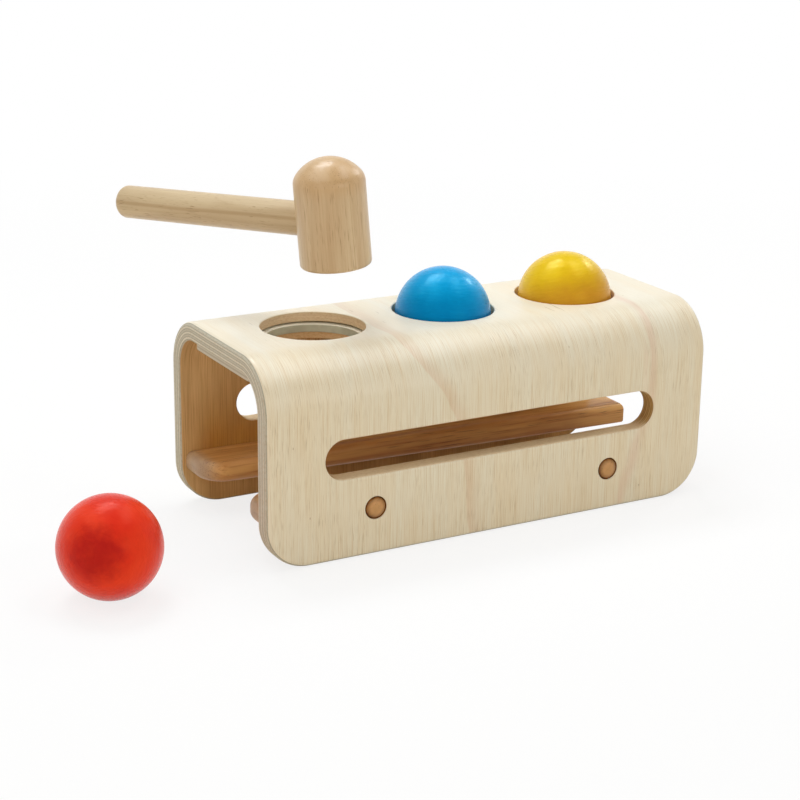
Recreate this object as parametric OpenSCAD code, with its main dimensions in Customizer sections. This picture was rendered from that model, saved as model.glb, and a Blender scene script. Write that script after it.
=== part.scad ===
// Ball pounding toy: a bent plywood body with ball holes that rubber rings close to a snug fit,
// two rails that carry a ball to the end, loose balls and a small hammer.
// Frame: the origin is on the floor, at the middle of the front wall's foot.
// +X runs along the body to the low end of the rails, +Y runs from the front wall to the back wall
// and +Z is up. The pieces are drawn about the middle of the body and then moved onto that foot.

/* [Body] */
// Length of the bent body along X
body_length = 231; // [216:1:260]
// Width over the two walls along Y
body_width = 101.8; // [96:0.2:120]
// Height of the top face above the floor
body_height = 93.4; // [90:0.2:110]
// Thickness of the bent plywood
ply = 8.5; // [7:0.1:10]
// Outer radius of the bend between the top and a wall
bend_radius = 24; // [18:0.5:28]
// Radius of the lower corners of each wall
foot_radius = 21; // [8:0.5:26]

/* [Balls and holes] */
// Diameter of the balls
ball_d = 45; // [42:0.5:46]
// Play between a ball and its hole in the top, on the diameter
hole_play = 3; // [1.5:0.1:5]
// Distance from one hole to the next along X
hole_pitch = 67.8; // [64:0.2:72]
// Distance of the rolled-out ball from the end of the body
rolled_out = 67.5; // [40:0.5:120]
// Distance of the rolled-out ball in front of the middle of the body
rolled_aside = 42; // [0:0.5:60]

/* [Rings and their board] */
// Amount by which a ring is tighter than a ball, on the diameter
ring_grip = 0.4; // [0.2:0.05:0.8]
// Width of the shelf around a hole that takes the ring
ring_shelf = 5; // [3:0.1:6]
// Plywood left above a ring
top_lip = 4.7; // [3:0.1:5]
// Radius of the ring's upper inner edge
ring_edge = 1.2; // [0.4:0.1:1.5]
// Play around and above a ring in its seat
ring_play = 0.2; // [0.1:0.05:0.4]
// Room between a ball and the ring that it sits on
seat_play = 0.03; // [0.02:0.01:0.1]
// Thickness of the board that holds the rings up
board_t = 4.4; // [3:0.1:6]
// Amount by which the board reaches past the start of each bend
board_lap = 1; // [0.5:0.1:6]
// Distance of the board's ends inside the ends of the body
board_inset = 2.8; // [0:0.1:8]

/* [Wall slots] */
// Length of the slot in each wall
slot_length = 174; // [120:1:180]
// Height of the slot
slot_height = 19; // [12:0.5:22]
// Height of the middle of the slot above the floor
slot_z = 46.65; // [44:0.05:52]

/* [Rails] */
// Clear width between the two rails
rail_gap = 37; // [32:0.5:40]
// Thickness of a rail
rail_t = 10; // [8:0.1:12]
// Height of the middle of the rails above the floor, halfway along
rail_z = 20.5; // [18:0.1:24]
// Fall of the rails toward +X, in degrees
rail_fall = 0.88; // [0.4:0.02:2]
// Distance of the rails' high end inside the end of the body
rail_inset = 2.5; // [0:0.1:6]
// Length of the rails past the other end of the body
rail_proud = 4.5; // [0:0.1:10]
// Radius of the rails' long inner edges
rail_edge = 3; // [1:0.1:4]
// Radius of the rails' inner corner at the high end, seen from above
rail_nose = 13.5; // [6:0.5:20]

/* [Pins] */
// Diameter of the heads of the pins that fix the rails to the walls
pin_d = 10.2; // [6:0.1:11]
// Depth of a pin's head in the wall
pin_head_t = 5; // [2:0.5:6]
// Amount by which a pin's shank is thinner than its head, on the radius
pin_step = 1.1; // [0.8:0.1:2]
// Distance of the pins from the middle of the body
pin_x = 62; // [40:1:90]
// Height of the pins above the middle of the rail
pin_rise = 0.45; // [0:0.05:1]
// Depth of a pin in the rail
pin_depth = 14; // [8:0.5:18]
// Height of the pin's crown outside the wall
pin_crown = 0.4; // [0.2:0.1:1]
// Bevel of the pin's crown
pin_bevel = 0.9; // [0.3:0.1:1.5]

/* [Hammer] */
// Diameter of the hammer head
head_d = 32.5; // [28:0.5:38]
// Height of the hammer head from face to crown
head_h = 49.4; // [44:0.2:60]
// Rise of the domed crown
head_dome = 11.6; // [9:0.2:14]
// Radius of the shoulder between the barrel and the crown
head_shoulder = 7; // [3:0.5:8]
// Radius around the striking face
head_edge = 1.6; // [0.5:0.1:3]
// Diameter of the handle
handle_d = 15.6; // [12:0.2:17]
// Reach of the handle from the middle of the head
handle_reach = 125.3; // [90:0.5:160]
// Height of the handle above the striking face
handle_rise = 20; // [16:0.5:24]
// Depth of the handle in the head
handle_depth = 24; // [16:0.5:28]
// Radius of the handle's free end
handle_edge = 3.4; // [1:0.1:5]
// Height at which the hammer is held over the body
hammer_lift = 26.7; // [10:0.1:60]
// Offset of the head from the first hole along X
hammer_shift = 11.8; // [0:0.1:20]
// Direction of the handle about Z, in degrees
hammer_turn = 116.3; // [90:0.1:150]
// Fall of the handle away from the head, in degrees
hammer_dip = 3.25; // [0:0.05:10]
// Lean of the head about the handle, in degrees
hammer_lean = -3.85; // [-8:0.05:8]

/* [Hidden] */
$fn = 96;

LEFT = -1;
RIGHT = 1;
FRONT = -1;
BACK = 1;

// Cuts run this far past the face that they open
overcut = 1;

inside_half = body_width / 2 - ply;
foot_y = (body_width - ply) / 2;
bend_start = body_width / 2 - bend_radius;
inner_bend = bend_radius - ply;

hole_d = ball_d + hole_play;
seat_d = hole_d + 2 * ring_shelf;
under_top = body_height - ply;
ring_h = ply - top_lip - ring_play;
ring_bore_r = (ball_d - ring_grip) / 2;
ring_outer_r = seat_d / 2 - ring_play;

// A seated ball touches the rounded upper edge of its ring
edge_reach = ball_d / 2 + ring_edge + seat_play;
edge_r = ring_bore_r + ring_edge;
seated_z = under_top + ring_h - ring_edge + sqrt(edge_reach * edge_reach - edge_r * edge_r);

board_half = bend_start + board_lap;
board_end = body_length / 2 - board_inset;
board_bottom = under_top - board_t;

rail_left = body_length / 2 - rail_inset;
rail_right = body_length / 2 + rail_proud;
rail_w = inside_half - rail_gap / 2;

// The crown's arc meets the shoulder's arc at a tangent, so its centre lies this far below the barrel's end
shoulder_x = head_d / 2 - head_shoulder;
shoulder_rise = head_dome - head_shoulder;
crown_drop = (shoulder_x * shoulder_x - shoulder_rise * shoulder_rise) / (2 * shoulder_rise);
crown_r = head_dome + crown_drop;

maple = [0.94, 0.90, 0.81];
plywood = [0.66, 0.52, 0.37];
rubber = [0.62, 0.60, 0.50];
rail_wood = [0.62, 0.45, 0.28];
pin_wood = [0.70, 0.56, 0.40];
hammer_wood = [0.87, 0.76, 0.58];
red = [0.80, 0.13, 0.12];
blue = [0.05, 0.52, 0.77];
yellow = [0.95, 0.70, 0.13];

// Height of the inner face of the bend at a distance from the middle
function bend_z(y) = body_height - bend_radius
    + sqrt(inner_bend * inner_bend - (y - bend_start) * (y - bend_start));

// Moves a finished piece so that the front wall's foot is at the origin
module on_foot() {
    translate([0, foot_y, 0]) children();
}

// Extrudes an outline drawn in Y and Z along X
module along_x(from, to) {
    rotate([90, 0, 90]) translate([0, 0, from]) linear_extrude(to - from) children();
}

// Extrudes an outline drawn in X and Z through both walls
module through_walls() {
    rotate([90, 0, 0]) linear_extrude(body_width + 2 * overcut, center = true) children();
}

// Arch with round upper corners, open below down to -below
module arch(half, top, radius, below = 0) {
    translate([-half, -below]) square([2 * half, top - radius + below]);
    translate([radius - half, -below]) square([2 * (half - radius), top + below]);
    for (side = [-1, 1]) {
        translate([side * (half - radius), top - radius]) circle(r = radius);
    }
}

// Outline of a wall with its round lower corners, reaching above the top
module wall_outline() {
    half = body_length / 2;
    translate([-half, foot_radius]) square([2 * half, body_height + overcut - foot_radius]);
    translate([foot_radius - half, 0]) square([2 * (half - foot_radius), body_height]);
    for (end = [LEFT, RIGHT]) {
        translate([end * (half - foot_radius), foot_radius]) circle(r = foot_radius);
    }
}

// Slot with round ends
module slot_outline() {
    straight = slot_length - slot_height;
    square([straight, slot_height], center = true);
    for (end = [LEFT, RIGHT]) {
        translate([end * straight / 2, 0]) circle(d = slot_height);
    }
}

// Places its children at each of the three holes, at floor level
module at_holes() {
    for (place = [-1, 0, 1]) {
        translate([place * hole_pitch, 0, 0]) children();
    }
}

// Tilts its children with the rails
module on_rails() {
    translate([0, 0, rail_z]) rotate([0, rail_fall, 0]) children();
}

// Shank from the rail into the back wall, and the wider head that reaches this far past the wall's face
module stepped_pin(past = 0) {
    shank = pin_depth + ply - pin_head_t;
    translate([0, inside_half - pin_depth, 0]) rotate([-90, 0, 0]) {
        cylinder(h = shank, d = pin_d - 2 * pin_step);
        translate([0, 0, shank]) cylinder(h = pin_head_t + past, d = pin_d);
    }
}

// Pin with its crown outside the back wall
module pin_solid() {
    stepped_pin();
    translate([0, inside_half + ply, 0]) rotate([-90, 0, 0])
        cylinder(h = pin_crown, d1 = pin_d, d2 = pin_d - 2 * pin_bevel);
}

// Hole for a pin, as deep as the pin and open to the outside
module pin_hole() {
    stepped_pin(overcut);
}

// Puts its children at one pin's place, with +Y pointing out of its wall
module at_pin(end, side) {
    on_rails() translate([end * pin_x, 0, pin_rise]) scale_y(side) children();
}

// Mirrors its children to the front wall, or leaves them at the back
module scale_y(side) {
    if (side == FRONT) {
        mirror([0, 1, 0]) children();
    } else {
        children();
    }
}

module body_shell() {
    color(maple) difference() {
        intersection() {
            along_x(-body_length / 2, body_length / 2) difference() {
                arch(body_width / 2, body_height, bend_radius);
                arch(inside_half, under_top, inner_bend, overcut);
            }
            through_walls() wall_outline();
        }
        at_holes() {
            translate([0, 0, under_top - overcut]) cylinder(h = ply + 2 * overcut, d = hole_d);
            translate([0, 0, under_top - overcut]) cylinder(h = ply - top_lip + overcut, d = seat_d);
        }
        translate([0, 0, slot_z]) through_walls() slot_outline();
        for (end = [LEFT, RIGHT], side = [FRONT, BACK]) {
            at_pin(end, side) pin_hole();
        }
    }
}

// Board under the top: its upper corners are eased to lie inside the bends
module ring_board() {
    middle = bend_start + board_lap / 2;
    side = [
        [bend_start, under_top], [middle, bend_z(middle)],
        [board_half, bend_z(board_half)], [board_half, board_bottom]
    ];
    other = [for (i = [len(side) - 1 : -1 : 0]) [-side[i][0], side[i][1]]];
    color(plywood) difference() {
        along_x(-board_end, board_end) polygon(concat(side, other));
        at_holes() translate([0, 0, board_bottom - overcut])
            cylinder(h = board_t + 2 * overcut, d = hole_d);
    }
}

// Rubber ring in its seat between the top and the board
module ring(place) {
    width = ring_outer_r - ring_bore_r;
    color(rubber) translate([place * hole_pitch, 0, under_top]) rotate_extrude() {
        translate([ring_bore_r, 0]) square([width, ring_h - ring_edge]);
        translate([edge_r, 0]) square([width - ring_edge, ring_h]);
        translate([edge_r, ring_h - ring_edge]) circle(r = ring_edge);
    }
}

// Section of a rail against the back wall, with round inner edges
module rail_section() {
    inner = rail_gap / 2;
    translate([inner, rail_edge - rail_t / 2]) square([rail_w, rail_t - 2 * rail_edge]);
    translate([inner + rail_edge, -rail_t / 2]) square([rail_w - rail_edge, rail_t]);
    for (level = [-1, 1]) {
        translate([inner + rail_edge, level * (rail_t / 2 - rail_edge)]) circle(r = rail_edge);
    }
}

// Cuts the inner corner at the high end to a quarter round
module nose_cut() {
    span = rail_nose + overcut;
    height = rail_t + 2 * overcut;
    translate([rail_nose - rail_left, rail_gap / 2 + rail_nose, 0]) difference() {
        translate([-span, -span, -height / 2]) cube([span, span, height]);
        cylinder(h = height + 2 * overcut, r = rail_nose, center = true);
    }
}

module rail(side) {
    color(rail_wood) scale_y(side) difference() {
        on_rails() difference() {
            along_x(-rail_left, rail_right) rail_section();
            nose_cut();
        }
        for (end = [LEFT, RIGHT]) {
            at_pin(end, BACK) pin_hole();
        }
    }
}

module pin(end, side) {
    color(pin_wood) at_pin(end, side) pin_solid();
}

module seated_ball(place, paint) {
    color(paint) translate([place * hole_pitch, 0, seated_z]) sphere(d = ball_d);
}

module rolled_ball(paint) {
    color(paint) translate([-body_length / 2 - rolled_out, -rolled_aside, ball_d / 2])
        sphere(d = ball_d);
}

// Places the hammer over the first hole: its head stands along +Z and its handle points along +X
module held_hammer() {
    translate([hammer_shift - hole_pitch, 0, body_height + hammer_lift])
        rotate([hammer_lean, hammer_dip, hammer_turn]) children();
}

// Half outline of the head: a straight barrel with a rounded face, and a crown of two arcs
module head_outline() {
    radius = head_d / 2;
    barrel = head_h - head_dome;
    square([radius - head_edge, barrel]);
    translate([0, head_edge]) square([radius, barrel - head_edge]);
    translate([radius - head_edge, head_edge]) circle(r = head_edge);
    translate([shoulder_x, barrel]) circle(r = head_shoulder);
    translate([0, barrel - crown_drop]) intersection() {
        circle(r = crown_r);
        polygon([[0, 0], [2 * shoulder_x, 2 * crown_drop], [2 * shoulder_x, crown_r], [0, crown_r]]);
    }
}

module hammer_head() {
    color(hammer_wood) held_hammer() difference() {
        rotate_extrude() intersection() {
            head_outline();
            square([head_d, head_h]);
        }
        translate([head_d / 2 - handle_depth, 0, handle_rise]) rotate([0, 90, 0])
            cylinder(h = handle_depth + overcut, d = handle_d);
    }
}

module hammer_handle() {
    radius = handle_d / 2;
    length = handle_reach - head_d / 2 + handle_depth;
    color(hammer_wood) held_hammer()
        translate([head_d / 2 - handle_depth, 0, handle_rise]) rotate([0, 90, 0])
            rotate_extrude() intersection() {
                union() {
                    square([radius, length - handle_edge]);
                    square([radius - handle_edge, length]);
                    translate([radius - handle_edge, length - handle_edge]) circle(r = handle_edge);
                }
                square([handle_d, length]);
            }
}

on_foot() body_shell();
on_foot() ring_board();
on_foot() ring(-1);  // ring_left
on_foot() ring(0);  // ring_middle
on_foot() ring(1);  // ring_right
on_foot() rail(FRONT);  // rail_front
on_foot() rail(BACK);  // rail_back
on_foot() pin(LEFT, FRONT);  // pin_front_left
on_foot() pin(RIGHT, FRONT);  // pin_front_right
on_foot() pin(LEFT, BACK);  // pin_back_left
on_foot() pin(RIGHT, BACK);  // pin_back_right
on_foot() rolled_ball(red);  // ball_red
on_foot() seated_ball(0, blue);  // ball_blue
on_foot() seated_ball(1, yellow);  // ball_yellow
on_foot() hammer_head();
on_foot() hammer_handle();
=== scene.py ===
"""Ball pounding toy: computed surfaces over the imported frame, with a finish for every piece.

Lengths in the classes are millimetres in the part's frame. A mesh becomes metres when it is sewn.
"""

import logging
import math
from dataclasses import dataclass
from enum import Enum
from functools import cache
from typing import ClassVar

import bmesh
import bpy
import numpy as np
from mathutils import Matrix, Vector

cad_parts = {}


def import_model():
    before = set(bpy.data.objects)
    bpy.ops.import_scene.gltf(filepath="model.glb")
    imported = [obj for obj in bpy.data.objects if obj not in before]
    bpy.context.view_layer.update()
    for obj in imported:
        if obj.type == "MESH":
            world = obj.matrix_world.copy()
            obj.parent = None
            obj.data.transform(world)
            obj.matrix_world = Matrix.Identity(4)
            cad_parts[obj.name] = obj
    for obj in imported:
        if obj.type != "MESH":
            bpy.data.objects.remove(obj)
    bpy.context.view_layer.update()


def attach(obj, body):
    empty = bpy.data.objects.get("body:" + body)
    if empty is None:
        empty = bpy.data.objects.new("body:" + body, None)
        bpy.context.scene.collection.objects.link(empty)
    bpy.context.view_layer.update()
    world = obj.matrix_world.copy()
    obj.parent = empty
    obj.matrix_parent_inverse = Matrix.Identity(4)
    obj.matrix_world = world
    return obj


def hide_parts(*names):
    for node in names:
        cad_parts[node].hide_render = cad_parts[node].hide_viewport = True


Array = np.ndarray
Span = tuple[float, float]
Triple = tuple[float, float, float]
Colour = Triple

LOG = logging.getLogger("pounding_toy")
GRAIN = "grain"
MM = 0.001
WELD = 2e-6
SHARP = math.radians(38.0)
FULL_TURN = 2 * math.pi
QUARTER_TURN = math.pi / 2
LOW_CORNER = -0.75 * math.pi
ORIGIN = (0.0, 0.0, 0.0)
WHITE = (1.0, 1.0, 1.0)
# Coordinate that no piece reaches. It switches a feature off.
NOWHERE = 1000.0
# Points along a straight of a profile, both its ends counted.
STRAIGHT = 5
# Heights beyond a face between which the look of a sheet's edge gives way to that of the face.
FACE_SPAN = (-0.1, -0.02)
# Sizes that several sub-assemblies share: the pitch of the holes and the body's middle plane.
PITCH = 67.8
MIDDLE_Y = 46.65
# Height of a seated ball's centre, and the place of the ball on the floor.
SEATED = 90.596
RED_BALL = (-183.0, 4.65, 22.5)


class Wall(Enum):
    """The two walls of the body, by the way they face along Y."""

    FRONT = -1
    BACK = 1


class End(Enum):
    """The two ends of the body, by their side along X."""

    LEFT = -1
    RIGHT = 1


class Place(Enum):
    """The three holes of the top, in pitches from the middle one."""

    LEFT = -1
    MIDDLE = 0
    RIGHT = 1


class Slot(Enum):
    """Names of the material slots."""

    BODY = "bent_plywood"
    BOARD = "board_plywood"
    RING = "ring_rubber"
    RAIL = "rail_wood"
    PIN = "pin_wood"
    RED = "red_paint"
    BLUE = "blue_paint"
    YELLOW = "yellow_paint"
    HAMMER = "hammer_wood"


class Body(Enum):
    """The bodies that the pieces ride on."""

    TOY = "toy_body"
    BLUE = "blue_ball"
    YELLOW = "yellow_ball"
    RED = "red_ball"
    HAMMER = "hammer"


class Axis(Enum):
    """The three wood coordinates, by the output that gives them."""

    ALONG = "X"
    ACROSS = "Y"
    DEEP = "Z"


class Sum(Enum):
    """Sums that a material works out, by the node's own name for them."""

    ADD = "ADD"
    SUBTRACT = "SUBTRACT"
    MULTIPLY = "MULTIPLY"
    DIVIDE = "DIVIDE"
    POWER = "POWER"
    ROOT = "SQRT"
    SIZE = "ABSOLUTE"
    LARGER = "MAXIMUM"
    FRACTION = "FRACT"
    ZIGZAG = "PINGPONG"
    LENGTH = "LENGTH"


class Blend(Enum):
    """Ways of laying one colour over another."""

    COVER = "MIX"
    STAIN = "MULTIPLY"


class Recipe:
    """A node material that is put together socket by socket."""

    def __init__(self, name: str) -> None:
        """Starts with a plain shader and the piece's wood coordinates.

        Args:
            name: Name of the material.
        """
        self.material = bpy.data.materials.new(name)
        self.material.use_nodes = True
        self.tree = self.material.node_tree
        self.tree.nodes.clear()
        self.shader = self.node("ShaderNodeBsdfPrincipled")
        output = self.node("ShaderNodeOutputMaterial")
        self.feed(output.inputs["Surface"], self.shader.outputs["BSDF"])
        self.grain = self.node("ShaderNodeAttribute", attribute_name=GRAIN).outputs["Vector"]

    @classmethod
    def on_tree(cls, tree: bpy.types.NodeTree) -> "Recipe":
        """Recipe that works on a tree that is already there, such as the world's.

        Args:
            tree: The tree.

        Returns:
            The recipe.
        """
        recipe = cls.__new__(cls)
        recipe.tree = tree
        return recipe

    def node(self, kind: str, **settings: object) -> bpy.types.Node:
        """Adds a node.

        Args:
            kind: Its type.
            **settings: Values for its own properties.

        Returns:
            The node.
        """
        made = self.tree.nodes.new(kind)
        for name, value in settings.items():
            setattr(made, name, value)
        return made

    def feed(self, socket: bpy.types.NodeSocket, value: object) -> None:
        """Links a socket to another, or sets its value.

        Args:
            socket: Input to feed.
            value: Output of another node, or a plain value.
        """
        if isinstance(value, bpy.types.NodeSocket):
            self.tree.links.new(value, socket)
        else:
            socket.default_value = value

    def stretched(self, scale: Triple, shift: Triple = ORIGIN) -> bpy.types.NodeSocket:
        """Wood coordinates times a scale, moved by a shift.

        Args:
            scale: Factors for the three coordinates.
            shift: Offset that is added.

        Returns:
            The coordinates.
        """
        made = self.node("ShaderNodeMapping")
        self.feed(made.inputs["Vector"], self.grain)
        made.inputs["Scale"].default_value = scale
        made.inputs["Location"].default_value = shift
        return made.outputs["Vector"]

    def noise(
        self,
        scale: Triple,
        detail: float = 2.0,
        roughness: float = 0.5,
        bend: float = 0.0,
        shift: Triple = ORIGIN,
    ) -> bpy.types.NodeSocket:
        """Noise that is drawn out along the grain.

        Args:
            scale: Features per millimetre along the grain and in both directions across it.
            detail: Octaves.
            roughness: Weight of the finer octaves.
            bend: Distortion.
            shift: Offset that makes it another pattern.

        Returns:
            The noise, about 0.5 on average.
        """
        made = self.node("ShaderNodeTexNoise")
        self.feed(made.inputs["Vector"], self.stretched(scale, shift))
        made.inputs["Scale"].default_value = 1.0
        made.inputs["Detail"].default_value = detail
        made.inputs["Roughness"].default_value = roughness
        made.inputs["Distortion"].default_value = bend
        return made.outputs["Fac"]

    def part(self, axis: Axis) -> bpy.types.NodeSocket:
        """One of the wood coordinates.

        Args:
            axis: Which one.

        Returns:
            The coordinate.
        """
        made = self.node("ShaderNodeSeparateXYZ")
        self.feed(made.inputs["Vector"], self.grain)
        return made.outputs[axis.value]

    def sum(self, kind: Sum, first: object, second: object = 0.0) -> bpy.types.NodeSocket:
        """Result of a sum of two values.

        Args:
            kind: Which sum.
            first: First value or socket.
            second: Second value or socket.

        Returns:
            The result.
        """
        made = self.node("ShaderNodeMath", operation=kind.value)
        self.feed(made.inputs[0], first)
        self.feed(made.inputs[1], second)
        return made.outputs[0]

    def plus(self, first: object, second: object) -> bpy.types.NodeSocket:
        """Two values added."""
        return self.sum(Sum.ADD, first, second)

    def less(self, first: object, second: object) -> bpy.types.NodeSocket:
        """First value less the second."""
        return self.sum(Sum.SUBTRACT, first, second)

    def times(self, first: object, second: object) -> bpy.types.NodeSocket:
        """Product of two values."""
        return self.sum(Sum.MULTIPLY, first, second)

    def size(self, value: object) -> bpy.types.NodeSocket:
        """Value without its sign."""
        return self.sum(Sum.SIZE, value)

    def vector_sum(self, kind: Sum, first: object, second: object = ORIGIN) -> bpy.types.NodeSocket:
        """Result of a sum of two vectors.

        Args:
            kind: Which sum.
            first: First vector or socket.
            second: Second vector or socket.

        Returns:
            The vector, or the plain value of a length.
        """
        made = self.node("ShaderNodeVectorMath", operation=kind.value)
        self.feed(made.inputs[0], first)
        self.feed(made.inputs[1], second)
        return made.outputs["Value" if kind is Sum.LENGTH else "Vector"]

    def step(self, value: object, low: float, high: float, top: float = 1.0) -> bpy.types.NodeSocket:
        """Smooth step from nought at the low value to the top at the high value.

        Args:
            value: Value or socket to read.
            low: Value at which the step starts.
            high: Value at which it ends.
            top: Result above it.

        Returns:
            The step.
        """
        made = self.node("ShaderNodeMapRange", interpolation_type="SMOOTHSTEP")
        self.feed(made.inputs["Value"], value)
        made.inputs["From Min"].default_value = low
        made.inputs["From Max"].default_value = high
        made.inputs["To Max"].default_value = top
        return made.outputs["Result"]

    def raised(
        self, value: object, low: float, high: float, floor: float, top: float = 1.0
    ) -> bpy.types.NodeSocket:
        """Smooth step from a floor at the low value to the top at the high value.

        Args:
            value: Value or socket to read.
            low: Value at which the step starts.
            high: Value at which it ends.
            floor: Result below it.
            top: Result above it.

        Returns:
            The step.
        """
        return self.plus(self.step(value, low, high, top - floor), floor)

    def ramp(self, value: object, start: float, slope: float) -> bpy.types.NodeSocket:
        """Nought up to a start, and a straight rise from there on.

        Args:
            value: Value or socket to read.
            start: Value at which the rise starts.
            slope: Rise per unit.

        Returns:
            The rise.
        """
        return self.times(self.sum(Sum.LARGER, self.less(value, start), 0.0), slope)

    def mixed(
        self, share: object, first: object, second: object, blend: Blend = Blend.COVER
    ) -> bpy.types.NodeSocket:
        """Blend of two colours.

        Args:
            share: Share of the second colour.
            first: First colour or socket.
            second: Second colour or socket.
            blend: Way of blending.

        Returns:
            The colour.
        """
        made = self.node("ShaderNodeMix", data_type="RGBA", blend_type=blend.value)
        self.feed(made.inputs["Factor"], share)
        self.feed(made.inputs["A"], tint(first))
        self.feed(made.inputs["B"], tint(second))
        return made.outputs["Result"]

    def seen(self) -> bpy.types.NodeSocket:
        """One for rays that the camera sees straight, in gloss or through glass, and nought for light.

        Returns:
            The share.
        """
        path = self.node("ShaderNodeLightPath")
        both = self.sum(Sum.LARGER, path.outputs["Is Camera Ray"], path.outputs["Is Glossy Ray"])
        return self.sum(Sum.LARGER, both, path.outputs["Is Transmission Ray"])

    def finish(
        self, colour: object, roughness: object, height: object, relief: float, specular: object
    ) -> None:
        """Feeds the shader.

        Args:
            colour: Colour socket.
            roughness: Roughness, plain or as a socket.
            height: Height socket for the relief.
            relief: Depth of the relief in millimetres.
            specular: Strength of the gloss, plain or as a socket.
        """
        bump = self.node("ShaderNodeBump")
        bump.inputs["Strength"].default_value = 1.0
        bump.inputs["Distance"].default_value = relief * MM
        self.feed(bump.inputs["Height"], height)
        self.feed(self.shader.inputs["Normal"], bump.outputs["Normal"])
        self.feed(self.shader.inputs["Base Color"], colour)
        self.feed(self.shader.inputs["Roughness"], roughness)
        self.feed(self.shader.inputs["Specular IOR Level"], specular)


def moved(span: Span, by: float) -> Span:
    """Span moved by a distance."""
    return (span[0] + by, span[1] + by)


def tint(colour: object) -> object:
    """Colour with its screen values made linear and an alpha, or the socket as it is.

    Args:
        colour: Screen values, or a socket.

    Returns:
        What a colour input takes.
    """
    if isinstance(colour, bpy.types.NodeSocket):
        return colour
    value = np.array(colour)
    linear = np.where(value <= 0.04045, value / 12.92, ((value + 0.055) / 1.055) ** 2.4)
    return (*linear.tolist(), 1.0)


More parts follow.
